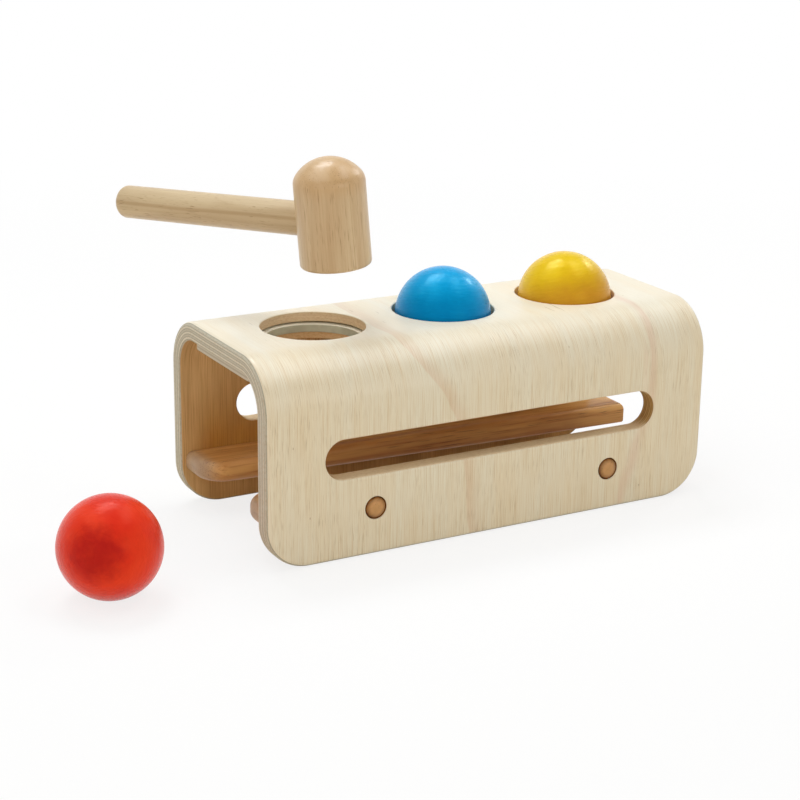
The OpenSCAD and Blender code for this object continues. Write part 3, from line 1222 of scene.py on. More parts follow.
    def slot_loop(self, radius: float) -> Array:
        """Outline of a slot: straight, half round, straight, half round.

        Args:
            radius: Radius of its ends.

        Returns:
            Flat places, from the point that faces the slot cell's low corner.
        """
        lead = self.cell * 3 // 8
        straight = np.linspace(-self.slot_core, self.slot_core, 3 * self.cell - 2 * lead + 1)
        turn = np.linspace(-QUARTER_TURN, QUARTER_TURN, 2 * lead + len(self.slot_cross))
        low = pairs(straight[:-1], -radius)
        right = pairs(self.slot_core + radius * np.cos(turn), radius * np.sin(turn))[:-1]
        loop = np.concatenate([low, right, -low, -right])
        return np.roll(loop, lead, axis=0) + [0, self.reach - self.slot_level]

    def face(self, quilt: Quilt, depth: float, margin: float, hole: float, slot: float, pin: float) -> None:
        """Lays one face of the sheet: ruled rings round the holes, grids and corner patches between.

        Args:
            quilt: Mesh that takes the face.
            depth: Depth of the face.
            margin: Distance of its rim inside the outline.
            hole: Radius of the ball holes in this face.
            slot: Radius of the slots' ends in this face.
            pin: Radius of the pin holes in this face.
        """
        ends, feet = self.rims(margin)
        for place in Place:
            first = (place.value + 1) * self.cell
            ring = circle_loop((place.value * self.pitch, 0), hole, 4 * self.cell)
            square = rectangle_loop(self.lines[first : first + self.cell + 1], self.top_cross)
            self.lay(quilt, spread(ring, square, self.hole_shares), depth, closed=True)
        for end in End:
            self.lay(quilt, grid(end.value * ends, self.top_cross), depth)
        whole = np.concatenate([-ends[:0:-1], self.lines, ends[1:]])
        down, back = self.corner_sides(margin)
        upper = pairs(np.append(self.corner_lines, ends[1:]), self.slot_cross[-1])
        side = pairs(self.corner_lines[0], np.append(self.pin_cross, feet[1:]))
        patch = coons(upper, back, side, down)
        middle = len(self.lines) // 2
        near, far = self.pin_start, self.pin_start + self.pin_cell
        pin_cells = [
            self.lines[middle - far : middle - near + 1],
            self.lines[middle + near : middle + far + 1],
        ]
        plain = [
            self.lines[self.corner_cell : middle - far + 1],
            self.lines[middle - near : middle + near + 1],
            self.lines[middle + far : -self.corner_cell],
        ]
        for wall in Wall:
            flip = np.array([1, wall.value])
            self.lay(quilt, grid(whole, self.bend_cross) * flip, depth)
            frame = rectangle_loop(self.lines, self.slot_cross)
            ring = spread(self.slot_loop(slot), frame, self.hole_shares)
            self.lay(quilt, ring * flip, depth, closed=True)
            for (x, z), cell in zip(self.pin_places, pin_cells):
                frame = rectangle_loop(cell, self.pin_cross)
                ring = circle_loop((x, self.reach - z), pin, len(frame))
                self.lay(quilt, spread(ring, frame, self.hole_shares) * flip, depth, closed=True)
            for block in plain:
                self.lay(quilt, grid(block, self.pin_cross) * flip, depth)
            self.lay(quilt, grid(self.lines[self.corner_cell : -self.corner_cell], feet) * flip, depth)
            for end in End:
                self.lay(quilt, grid(end.value * ends, self.slot_cross) * flip, depth)
                self.lay(quilt, patch * flip * [end.value, 1], depth)

    def outline(self, margin: float) -> Array:
        """Rim of a face: a quarter from the middle of an end to the middle of a foot, mirrored round.

        Args:
            margin: Distance inside the outline.

        Returns:
            Flat places, once round and not closed.
        """
        ends, feet = self.rims(margin)
        down, back = self.corner_sides(margin)
        side = np.concatenate([self.top_cross[self.cell // 2 :], self.bend_cross[1:], self.slot_cross[1:]])
        low = self.lines[len(self.lines) // 2 : -self.corner_cell - 1][::-1]
        quarter = np.concatenate([pairs(ends[-1], side), down[1:], back[-2::-1], pairs(low, feet[-1])])
        other = quarter[:0:-1] * [-1, 1]
        return np.concatenate([quarter[:-1], other, -quarter[:-1], -other])

    def edges(self, quilt: Quilt) -> None:
        """Closes the sheet: carries an edge profile round its outline and through every hole.

        Args:
            quilt: Mesh that takes the edges.
        """
        rim = self.outline(self.outer_round)
        border = edge_profile(self.outer_round, self.inner_round, self.ply)
        self.carry(quilt, rim, toward_core(rim, self.core), border)
        mouth = quarter_round(self.hole_round, self.round_steps)
        inside = self.hole + self.hole_round - self.seat
        down = np.linspace(self.hole_round, self.lip - self.lip_round, STRAIGHT)[1:]
        barrel = pairs(self.hole_round, down)
        shelf = [(self.hole_round - self.lip_round, self.lip), (inside, self.lip), (inside, self.ply)]
        hole_profile = np.concatenate([mouth, barrel, shelf])
        for place in Place:
            centre = np.array([place.value * self.pitch, 0])
            ring = circle_loop(centre, self.hole + self.hole_round, 4 * self.cell)
            self.bore(quilt, ring, centre, hole_profile)
        bar = np.array([self.slot_core, 0])
        slot = self.slot_loop(self.slot_radius + self.slot_round)
        inward = -toward_core(slot - [0, self.reach - self.slot_level], bar)
        slot_profile = edge_profile(self.slot_round, self.slot_round / 2, self.ply)
        bevel = quarter_round(self.pin_round, self.round_steps)
        step = self.pin_round + self.pin_hole - self.pin_bore
        deep = [(self.pin_round, self.pin_hole_depth), (step, self.pin_hole_depth), (step, self.ply)]
        pin_profile = np.concatenate([bevel, deep])
        for wall in Wall:
            flip = np.array([1, wall.value])
            self.carry(quilt, slot * flip, inward * flip, slot_profile)
            for x, z in self.pin_places:
                centre = np.array([x, self.reach - z])
                ring = circle_loop(centre, self.pin_hole + self.pin_round, 4 * self.pin_cell)
                self.bore(quilt, ring * flip, centre * flip, pin_profile)

    def finish(self, node: str) -> Finish:
        """Pale veneer, with the sheet's layers at its edges."""
        return VeneerFinish("pale_veneer", ply=self.ply)

    def build(self) -> dict[str, bpy.types.Object]:
        """Sews both faces and all edges into the body.

        Returns:
            The body, by its node.
        """
        quilt = Quilt()
        outer_hole = self.hole + self.hole_round
        outer_slot = self.slot_radius + self.slot_round
        inner_slot = self.slot_radius + self.slot_round / 2
        self.face(quilt, 0, self.outer_round, outer_hole, outer_slot, self.pin_hole + self.pin_round)
        self.face(quilt, self.ply, self.inner_round, self.seat, inner_slot, self.pin_bore)
        self.edges(quilt)
        return quilt.piece("body_shell")


@dataclass
class RingBoard(Sheet):
    """The thin board under the top that holds the rings up, with its upper corners eased to the bends."""

    slot: ClassVar[Slot] = Slot.BOARD
    length: float = 225.4
    half_width: float = 27.9
    thickness: float = 4.4
    top: float = 84.89
    bend_start: float = 26.9
    inner_bend: float = 15.5
    pitch: float = PITCH
    hole: float = 24.0
    margin: float = 0.5
    middle_y: float = MIDDLE_Y
    cell: int = 32
    ring_rows: int = 4
    end_rows: int = 6
    round_steps: int = 4

    def lift(self, flat: Array, depth: Array) -> Array:
        """Eases the upper face to the bends: it falls there as the arc of the bend does.

        Args:
            flat: Places along and across the board.
            depth: Depth below its upper face.

        Returns:
            Places in the part's frame.
        """
        past = np.maximum(np.abs(flat[..., 1]) - self.bend_start, 0)
        fall = self.inner_bend - np.sqrt(self.inner_bend**2 - past**2)
        z = self.top - fall - depth * (1 - fall / self.thickness)
        return np.stack([flat[..., 0], flat[..., 1] + self.middle_y, z], axis=-1)

    def finish(self, node: str) -> Finish:
        """Plain plywood."""
        return BoardFinish("ring_board_ply", thickness=self.thickness, half_length=self.length / 2)

    def build(self) -> dict[str, bpy.types.Object]:
        """Sews two faces of ruled rings and end strips, the rim and the three hole walls.

        Returns:
            The board, by its node.
        """
        quilt = Quilt()
        lines = np.linspace(-1.5 * self.pitch, 1.5 * self.pitch, 3 * self.cell + 1)
        cross = np.linspace(self.margin - self.half_width, self.half_width - self.margin, self.cell + 1)
        ends = np.linspace(lines[-1], self.length / 2 - self.margin, self.end_rows + 1)
        profile = edge_profile(self.margin, self.margin, self.thickness, self.round_steps)
        shares = np.linspace(0, 1, self.ring_rows + 1)
        for place in Place:
            centre = np.array([place.value * self.pitch, 0])
            first = (place.value + 1) * self.cell
            ring = circle_loop(centre, self.hole + self.margin, 4 * self.cell)
            frame = rectangle_loop(lines[first : first + self.cell + 1], cross)
            for depth in (0, self.thickness):
                self.lay(quilt, spread(ring, frame, shares), depth, closed=True)
            self.bore(quilt, ring, centre, profile)
        for end in End:
            for depth in (0, self.thickness):
                self.lay(quilt, grid(end.value * ends, cross), depth)
        whole = np.concatenate([-ends[:0:-1], lines, ends[1:]])
        rim = rectangle_loop(whole, cross)
        core = np.array([whole[-1], cross[-1]]) - self.margin
        self.carry(quilt, rim, toward_core(rim, core), profile)
        return quilt.piece("ring_board")


@dataclass
class Bench:
    """Place of a turned piece: its base and the three directions of its own axes."""

    base: Array
    turn: Array

    @classmethod
    def on_axis(cls, base: Triple, axis: Triple) -> "Bench":
        """Bench whose third direction is the axis of turning, and whose first lies square to X and to it.

        Args:
            base: Foot of the axis.
            axis: Direction of the axis, which isn't X.

        Returns:
            The bench.
        """
        third = np.array(axis, float) / np.linalg.norm(axis)
        first = np.cross([1.0, 0, 0], third)
        first /= np.linalg.norm(first)
        return cls(np.array(base, float), np.column_stack([first, np.cross(third, first), third]))

    def set_out(self, local: Array) -> Array:
        """Places in the part's frame of places on the piece's own axes."""
        return local @ self.turn.T + self.base


def revolve(profile: Array, count: int) -> Array:
    """Surface of revolution: a profile of radius and height carried round the third axis.

    Args:
        profile: Pairs of radius and height.
        count: Number of steps round the axis.

    Returns:
        The grid on the piece's own axes, a row for each pair.
    """
    angle = FULL_TURN * np.arange(count) / count
    radius, height = profile[:, 0, None], profile[:, 1, None]
    return np.stack([radius * np.cos(angle), radius * np.sin(angle), height + 0 * angle], axis=-1)


def along_axis(local: Array, shift: Array | float) -> Array:
    """Wood coordinates of a turned piece, with the grain along its axis, moved to a fresh bit of wood."""
    return local[..., [2, 0, 1]] + shift


def turned(profile: Array, count: int, seat: Bench, shift: Array | float = 0.0) -> Quilt:
    """Turned piece: a profile from axis to axis, or a closed one, carried round the bench's third axis.

    Args:
        profile: Pairs of radius and height.
        count: Number of steps round the axis.
        seat: Bench that it is set out on.
        shift: Offset of its wood coordinates.

    Returns:
        The surface, still to be sewn.
    """
    local = revolve(profile, count)
    quilt = Quilt()
    quilt.add(seat.set_out(local), along_axis(local, shift), closed=True)
    return quilt


def arc(centre: Span, radius: float, first: float, last: float, steps: int) -> Array:
    """Arc of a profile by equal angles.

    Args:
        centre: Radius and height of its middle.
        radius: Its radius.
        first: Angle of its start above the radial direction, in degrees.
        last: Angle of its end.
        steps: Number of divisions.

    Returns:
        Pairs of radius and height.
    """
    angle = np.radians(np.linspace(first, last, steps + 1))
    return pairs(centre[0] + radius * np.cos(angle), centre[1] + radius * np.sin(angle))


@dataclass
class Ring(Assembly):
    """A rubber ring in its seat, with a rounded mouth, a fine lip and a low bead in the board's hole."""

    body: ClassVar[Body] = Body.TOY
    slot: ClassVar[Slot] = Slot.RING
    place: Place
    bore: float = 22.3
    outer: float = 28.7
    height: float = 3.0
    mouth: float = 0.45
    rim: float = 0.4
    bead: float = 0.9
    bead_outer: float = 23.7
    # Depth of the painted highlight at the top of the ring.
    rubbed: float = 0.5
    level: float = 84.9
    pitch: float = PITCH
    middle_y: float = MIDDLE_Y
    steps: int = 128

    def finish(self, node: str) -> Finish:
        """Matt rubber."""
        return RubberFinish("ring_rubber_matt", highlight_level=self.height - self.rubbed)

    def build(self) -> dict[str, bpy.types.Object]:
        """Turns the ring's closed section: bead, bore, rounded mouth, top, outside and underside.

        Returns:
            The ring, by its node.
        """
        section = np.concatenate(
            [
                [(self.bead_outer, 0), (self.bead_outer, -self.bead)],
                arc((self.bore + self.rim, self.rim - self.bead), self.rim, 270, 180, 4),
                [(self.bore, 0.5 * self.height)],
                arc((self.bore + self.mouth, self.height - self.mouth), self.mouth, 180, 90, 8),
                arc((self.outer - self.rim, self.height - self.rim), self.rim, 90, 0, 4),
                arc((self.outer - self.rim, self.rim), self.rim, 0, -90, 4),
            ]
        )
        seat = Bench.on_axis((self.place.value * self.pitch, self.middle_y, self.level), (0, 0, 1))
        quilt = turned(np.concatenate([section, section[:1]]), self.steps, seat)
        return quilt.piece(f"ring_{self.place.name.lower()}")


@dataclass
class Rail(Sheet):
    """A rail along one wall: a flat bar with rounded edges and a round nose at its high end."""

    slot: ClassVar[Slot] = Slot.RAIL
    wall: Wall
    left: float = -113.0
    right: float = 120.0
    inner: float = 18.5
    outer: float = 42.4
    nose: float = 13.5
    thickness: float = 10.0
    level: float = 20.5
    fall: float = 0.88
    nose_round: float = 3.9
    top_round: float = 3.1
    under_round: float = 1.3
    end_round: float = 1.6
    back_round: float = 0.4
    nose_grain_and_sheen_span: Span = (9.0, 0.5)
    middle_y: float = MIDDLE_Y
    run_steps: int = 48
    nose_steps: tuple[int, int] = (8, 6)
    stub_steps: int = 4
    round_steps: int = 6

    def lift(self, flat: Array, depth: Array) -> Array:
        """Tilts the bar about Y by its fall and sets it against its wall.

        Args:
            flat: Places along the rail and across it from the middle of the body.
            depth: Depth below its upper face.

        Returns:
            Places in the part's frame.
        """
        tilt = math.radians(self.fall)
        height = self.thickness / 2 - depth
        x = flat[..., 0] * math.cos(tilt) + height * math.sin(tilt)
        z = self.level - flat[..., 0] * math.sin(tilt) + height * math.cos(tilt)
        return np.stack([x, self.middle_y + self.wall.value * flat[..., 1], z], axis=-1)

    def sides(self, low_round: float) -> tuple[tuple[Array, Array, Array], ...]:
        """Four sides of the outline with the way that each point's edge goes outward.

        The nose is a quarter circle that the inner side and the left side share. The inner edge's radius
        grows with the square of the way from the low end to the nose.

        Args:
            low_round: Radius of the inner edge at the low end.

        Returns:
            For the inner, outer, right and left side: its points, its reaches and its edge radii.
        """
        centre = np.array([self.left + self.nose, self.inner + self.nose])
        run = np.linspace(self.right, centre[0], self.run_steps + 1)
        turn = np.radians(np.linspace(270, 225, self.nose_steps[0] + 1)[1:])
        rest = np.radians(np.linspace(225, 180, self.nose_steps[1] + 1))
        round_way = pairs(np.cos(turn), np.sin(turn))
        inner_way = np.concatenate([np.tile([0.0, -1.0], (len(run), 1)), round_way])
        inner = np.concatenate([pairs(run, self.inner), centre + self.nose * round_way])
        share = np.clip((self.right - inner[:, 0]) / (self.right - centre[0]), 0, 1) ** 2
        inner_round = low_round + (self.nose_round - low_round) * share
        rest_way = pairs(np.cos(rest), np.sin(rest))
        stub = np.linspace(centre[1], self.outer, self.stub_steps + 1)[1:]
        left = np.concatenate([centre + self.nose * rest_way, pairs(self.left, stub)])
        left_way = np.concatenate([rest_way, np.tile([-1.0, 0.0], (len(stub), 1))])
        left_round = np.full(len(left), self.nose_round)
        outer = pairs(np.linspace(self.right, self.left, len(inner)), self.outer)
        outer_round = np.full(len(outer), self.back_round)
        right = pairs(self.right, np.linspace(self.inner, self.outer, len(left)))
        right_round = np.full(len(right), self.end_round)
        inner_reach = inner_way * inner_round[:, None]
        left_reach = left_way * left_round[:, None]
        outer_reach = np.tile([0.0, self.back_round], (len(outer), 1))
        right_reach = np.tile([self.end_round, 0.0], (len(right), 1))
        inner_reach[0] += right_reach[0]
        outer_reach[0] += right_reach[0]
        outer_reach[-1] += left_reach[-1]
        right_reach[0], right_reach[-1] = inner_reach[0], outer_reach[0]
        left_reach[-1] = outer_reach[-1]
        return (
            (inner, inner_reach, inner_round),
            (outer, outer_reach, outer_round),
            (right, right_reach, right_round),
            (left, left_reach, left_round),
        )

    def finish(self, node: str) -> Finish:
        """Warm wood in long streaks, greyer at the nose as end grain and as a painted sheen.

        Args:
            node: Node of the rail; not used.

        Returns:
            The finish.
        """
        return WoodFinish(
            "rail_wood_satin",
            light=(0.93, 0.74, 0.47),
            dark=(0.77, 0.55, 0.31),
            pore=(0.48, 0.33, 0.20),
            # Greyer at the nose: end grain there, and partly a painted sheen.
            end=(0.71, 0.64, 0.56),
            end_span=moved(self.nose_grain_and_sheen_span, self.left),
            pores=0.8,
            streaks=0.7,
            fineness=1.1,
            rings=0.3,
            roughness=0.34,
            specular=0.3,
        )

    def build(self) -> dict[str, bpy.types.Object]:
        """Sews two faces between the four sides and the rounded edge that is carried round them.

        Returns:
            The rail, by its node.
        """
        quilt = Quilt()
        edges = []
        for depth, low_round in ((0, self.top_round), (self.thickness, self.under_round)):
            sides = self.sides(low_round)
            self.lay(quilt, coons(*(points - reach for points, reach, _ in sides)), depth)
            edges.append(
                [
                    np.concatenate([inner, left[1:], outer[-2::-1], right[-2:0:-1]])
                    for inner, outer, right, left in zip(*sides)
                ]
            )
        (loop, top_reach, top_radius), (_, under_reach, under_radius) = edges
        turn = np.linspace(0, QUARTER_TURN, self.round_steps + 1)[:, None]
        middle = np.linspace(0, 1, STRAIGHT)[1:-1, None]
        upper = (1 - np.cos(turn)) * top_radius
        straight = top_radius + middle * (self.thickness - top_radius - under_radius)
        lower = self.thickness - (1 - np.sin(turn)) * under_radius
        flat = np.concatenate(
            [
                loop - (1 - np.sin(turn))[..., None] * top_reach,
                np.broadcast_to(loop, (len(middle), *loop.shape)),
                loop - (1 - np.cos(turn))[..., None] * under_reach,
            ]
        )
        self.lay(quilt, flat, np.concatenate([upper, straight, lower]), closed=True)
        return quilt.piece(f"rail_{self.wall.name.lower()}")


@dataclass
class Pin(Assembly):
    """A wooden pin: a thin shank from a rail into its wall, and a wider head with a low dome."""

    body: ClassVar[Body] = Body.TOY
    slot: ClassVar[Slot] = Slot.PIN
    wall: Wall
    end: End
    x: float
    z: float
    radius: float = 4.86
    shank: float = 4.0
    head_depth: float = 5.0
    inside: float = 28.4
    face: float = 50.9
    crown: float = 0.75
    rise: float = 0.1
    shoulder: float = 1.1
    shoulder_turn: float = 80.0
    foot_round: float = 0.4
    # Below this span the head keeps its brown as painted shade round the shoulder; above it lies the tan
    # end grain.
    shoulder_shade_span: Span = (-0.2, 0.5)
    middle_y: float = MIDDLE_Y
    end_wood: float = 25.0
    wall_wood: float = 11.0
    steps: int = 64
    round_steps: int = 8

    def finish(self, node: str) -> Finish:
        """Tan end grain with close rings, and painted shade that browns it round its shoulder.

        Args:
            node: Node of the pin; not used.

        Returns:
            The finish.
        """
        return WoodFinish(
            "pin_wood_satin",
            light=(0.64, 0.42, 0.15),
            dark=(0.52, 0.33, 0.10),
            pore=(0.60, 0.43, 0.26),
            end=(0.90, 0.69, 0.44),
            end_span=moved(self.shoulder_shade_span, self.face - self.inside),
            streaks=0.7,
            fineness=1.4,
            rings=0.35,
            ring_gap=2.4,
            pith=(9.0, 7.0),
        )

    def build(self) -> dict[str, bpy.types.Object]:
        """Turns the pin: a flat foot, a straight shank, a stepped head, a rounded shoulder and a low dome.

        Returns:
            The pin, by its node.
        """
        low = self.face - self.inside - self.shoulder + self.rise
        step = self.face - self.inside - self.head_depth
        top = self.radius - self.shoulder
        dome = np.linspace(top, 0, self.round_steps + 1)[1:]
        height = low + self.shoulder + (self.crown - self.rise) * (1 - (dome / top) ** 2)
        profile = np.concatenate(
            [
                [(0, 0), (self.shank - self.foot_round, 0), (self.shank, self.foot_round)],
                [(self.shank, step), (self.radius, step), (self.radius, (step + low) / 2)],
                arc((top, low), self.shoulder, 0, self.shoulder_turn, self.round_steps),
                pairs(dome, height),
            ]
        )
        base = (self.x, self.middle_y + self.wall.value * self.inside, self.z)
        seat = Bench.on_axis(base, (0, self.wall.value, 0))
        shift = self.end_wood * self.end.value + self.wall_wood * self.wall.value
        quilt = turned(profile, self.steps, seat, shift * np.array([0, 1, 1]))
        return quilt.piece(f"pin_{self.wall.name.lower()}_{self.end.name.lower()}")


@dataclass
class Ball(Assembly):
    """A painted wooden ball, turned about an axis of its own."""

    body: Body
    slot: Slot
    paint: Paint
    centre: Triple
    axis: Triple
    radius: float = 22.5
    steps: int = 160

    def finish(self, node: str) -> Finish:
        """Satin paint."""
        return self.paint.value

    def build(self) -> dict[str, bpy.types.Object]:
        """Turns a half circle about the ball's axis, from pole to pole.

        Returns:
            The ball, by its node.
        """
        half = arc((0, 0), self.radius, -90, 90, self.steps // 2)
        quilt = turned(half, self.steps, Bench.on_axis(self.centre, self.axis))
        return quilt.piece(f"ball_{self.body.value.removesuffix('_ball')}")


@dataclass
class Hammer(Assembly):
    """The hammer: a turned head with a domed crown, and a round handle in a hole in its side."""

    body: ClassVar[Body] = Body.HAMMER
    slot: ClassVar[Slot] = Slot.HAMMER
    base: Triple = (-56.0, MIDDLE_Y, 120.1)
    turns: Triple = (-3.85, 3.25, 116.3)
    radius: float = 16.25
    height: float = 49.4
    dome: float = 11.6
    shoulder: float = 7.0
    face_round: float = 1.6
    handle_radius: float = 7.8
    handle_level: float = 20.0
    handle_start: float = -7.75
    handle_reach: float = 125.3
    handle_round: float = 3.6
    foot_round: float = 0.5
    play: float = 0.05
    gap: float = 0.2
    mouth: float = 0.5
    head_wood: float = 60.0
    handle_wood: float = -35.0
    crown_span: Span = (31.0, 41.0)
    vein_height: float = 1.6
    steps: int = 120
    handle_steps: int = 96
    cell: int = 14
    cell_rows: int = 16
    cell_half: float = 11.4
    cell_shares: tuple[float, ...] = (0, 0.05, 0.18, 0.4, 0.68, 1.0)
    round_steps: int = 5

    def held(self) -> Bench:
        """Bench of the whole hammer: its head stands on the third axis, its handle lies along the first.

        Returns:
            The bench.
        """
        lean, dip, swing = (math.radians(angle) for angle in self.turns)
        turn = Matrix.Rotation(swing, 3, "Z") @ Matrix.Rotation(dip, 3, "Y") @ Matrix.Rotation(lean, 3, "X")
        return Bench(np.array(self.base), np.array(turn))

    def around(self, angle: Array, height: Array) -> Array:
        """Places on the head's barrel by angle from the handle and by height."""
        across = (self.radius * np.cos(angle), self.radius * np.sin(angle))
        return np.stack([*across, height + 0 * angle], axis=-1)

    def head_profiles(self, low: float, high: float) -> tuple[Array, Array]:
        """Profiles of the head below and above the band with the handle's hole.

        Args:
            low: Lower height of the band.
            high: Upper height of the band.

        Returns:
            The lower profile from the middle of the face, and the upper one to the top of the crown,
            which is a shoulder arc and a crown arc that meet at a tangent.
        """
        barrel = self.height - self.dome
        reach = self.radius - self.shoulder
        rise = self.dome - self.shoulder
        drop = (reach**2 - rise**2) / (2 * rise)
        meet = math.degrees(math.atan2(drop, reach))
        face = pairs(np.linspace(0, self.radius - self.face_round, 9)[:-1], 0.0)
        edge = arc((self.radius - self.face_round, self.face_round), self.face_round, -90, 0, 8)
        side = pairs(self.radius, np.linspace(self.face_round, low, STRAIGHT)[1:])
        neck = pairs(self.radius, np.linspace(high, barrel, STRAIGHT)[:-1])
        shoulder = arc((reach, barrel), self.shoulder, 0, meet, 14)
        crown = arc((0, barrel - drop), self.dome + drop, meet, 90, 26)
        return np.concatenate([face, edge, side]), np.concatenate([neck, shoulder, crown[1:]])

    def build_head(self) -> dict[str, bpy.types.Object]:
        """Sews the head: turned below and above, a ruled ring round the hole, and the hole's own wall.

        Returns:
            The head, by its node.
        """
        held = self.held()
        quilt = Quilt()
        step = FULL_TURN / self.steps
        rows = self.handle_level + np.linspace(-self.cell_half, self.cell_half, self.cell_rows + 1)
        low, high = self.head_profiles(rows[0], rows[-1])
        beside = step * np.arange(self.cell, self.steps - self.cell + 1)
        angles = step * np.arange(-self.cell, self.cell + 1)
        bore = self.handle_radius + self.gap
        frame = rectangle_loop(angles, rows)
        way = circle_loop((0, 0), 1, len(frame))
        rim = (bore + self.mouth) * way
        ring = pairs(np.arcsin(rim[:, 0] / self.radius), rim[:, 1] + self.handle_level)
        cell = spread(ring, frame, np.array(self.cell_shares))
        turn = np.linspace(0, QUARTER_TURN, self.round_steps + 1)
        out = np.append(bore + self.mouth * (1 - np.sin(turn)), [bore, 0])[:, None]
        across, up = out * way[:, 0], out * way[:, 1] + self.handle_level
        depth = self.mouth * np.append(1 - np.cos(turn), [0, 0])[:, None]
        deep = np.array([0] * len(turn) + [1, 1])[:, None]
        inward = np.where(deep, self.handle_start, np.sqrt(self.radius**2 - across**2) - depth)
        hole = np.stack([inward, across, up], axis=-1)
        parts = (
            (revolve(low, self.steps), True),
            (revolve(high, self.steps), True),
            (self.around(*np.moveaxis(grid(beside, rows), -1, 0)), False),
            (self.around(cell[..., 0], cell[..., 1]), True),
            (hole, True),
        )
        for local, closed in parts:
            quilt.add(held.set_out(local), along_axis(local, self.head_wood), closed)
        return quilt.piece("hammer_head")

    def build_handle(self) -> dict[str, bpy.types.Object]:
        """Turns the handle: a flat foot in the head, a straight shank and a rounded end.

        Returns:
            The handle, by its node.
        """
        held = self.held()
        start = self.handle_start + self.play
        length = self.handle_reach - start
        straight = length - self.handle_round
        foot = [(0, 0), (self.handle_radius - self.foot_round, 0), (self.handle_radius, self.foot_round)]
        shank = pairs(self.handle_radius, np.linspace(self.foot_round, straight, 24)[1:-1])
        tip = arc((self.handle_radius - self.handle_round, straight), self.handle_round, 0, 90, 10)
        flat = pairs(np.linspace(tip[-1, 0], 0, STRAIGHT)[1:], length)
        upright = revolve(np.concatenate([foot, shank, tip, flat]), self.handle_steps)
        local = upright[..., [2, 0, 1]] + [start, 0, self.handle_level]
        quilt = Quilt()
        quilt.add(held.set_out(local), along_axis(upright, self.handle_wood), closed=True)
        return quilt.piece("hammer_handle")

    def build(self) -> dict[str, bpy.types.Object]:
        """Head and handle, by their nodes."""
        return self.build_head() | self.build_handle()

    def finish(self, node: str) -> Finish:
        """Pale wood: tanned end grain on the head's crown, and one dark vein along the handle.

        Args:
            node: Node of the head or of the handle.

        Returns:
            The finish.
        """
        pore = (0.70, 0.56, 0.40)
        if node == "hammer_head":
            return WoodFinish(
                "hammer_head_wood",
                light=(0.89, 0.80, 0.655),
                dark=(0.82, 0.70, 0.54),
                pore=pore,
                end=(0.83, 0.675, 0.48),
                end_span=moved(self.crown_span, self.head_wood),
                pores=0.7,
                dash=(0.11, 2.8),
                streaks=0.4,
                fineness=1.6,
                roughness=0.27,
                specular=0.55,
            )
        return WoodFinish(
            "hammer_handle_wood",
            light=(0.86, 0.77, 0.62),
            dark=(0.80, 0.70, 0.55),
            pore=pore,
            end=(0.86, 0.77, 0.62),
            pores=0.7,
            dash=(0.2, 3.0),
            streaks=0.22,
            vein=self.handle_wood + self.vein_height,
            fineness=3.0,
        )


def aim(place: Vector, target: Vector) -> Matrix:
    """Matrix of something at a place that looks at a target along its own -Z."""
    return Matrix.Translation(place) @ (target - place).to_track_quat("-Z", "Y").to_matrix().to_4x4()


@dataclass(frozen=True)
class Lamp:
    """A rectangular studio lamp, in metres, seen from the toy in a direction."""

    name: str
    way: Triple
    distance: float
    size: Span
    power: float
    tone: Colour = WHITE

    def hang(self, target: Vector) -> None:
        """Makes the lamp and points it at the target.

        Args:
            target: Place that it lights.
        """
        light = bpy.data.lights.new(self.name, "AREA")
        light.shape = "RECTANGLE"
        light.size, light.size_y = self.size
        light.energy = self.power
        light.color = self.tone
        lamp = bpy.data.objects.new(self.name, light)
        lamp.matrix_world = aim(target + Vector(self.way).normalized() * self.distance, target)
        bpy.context.scene.collection.objects.link(lamp)


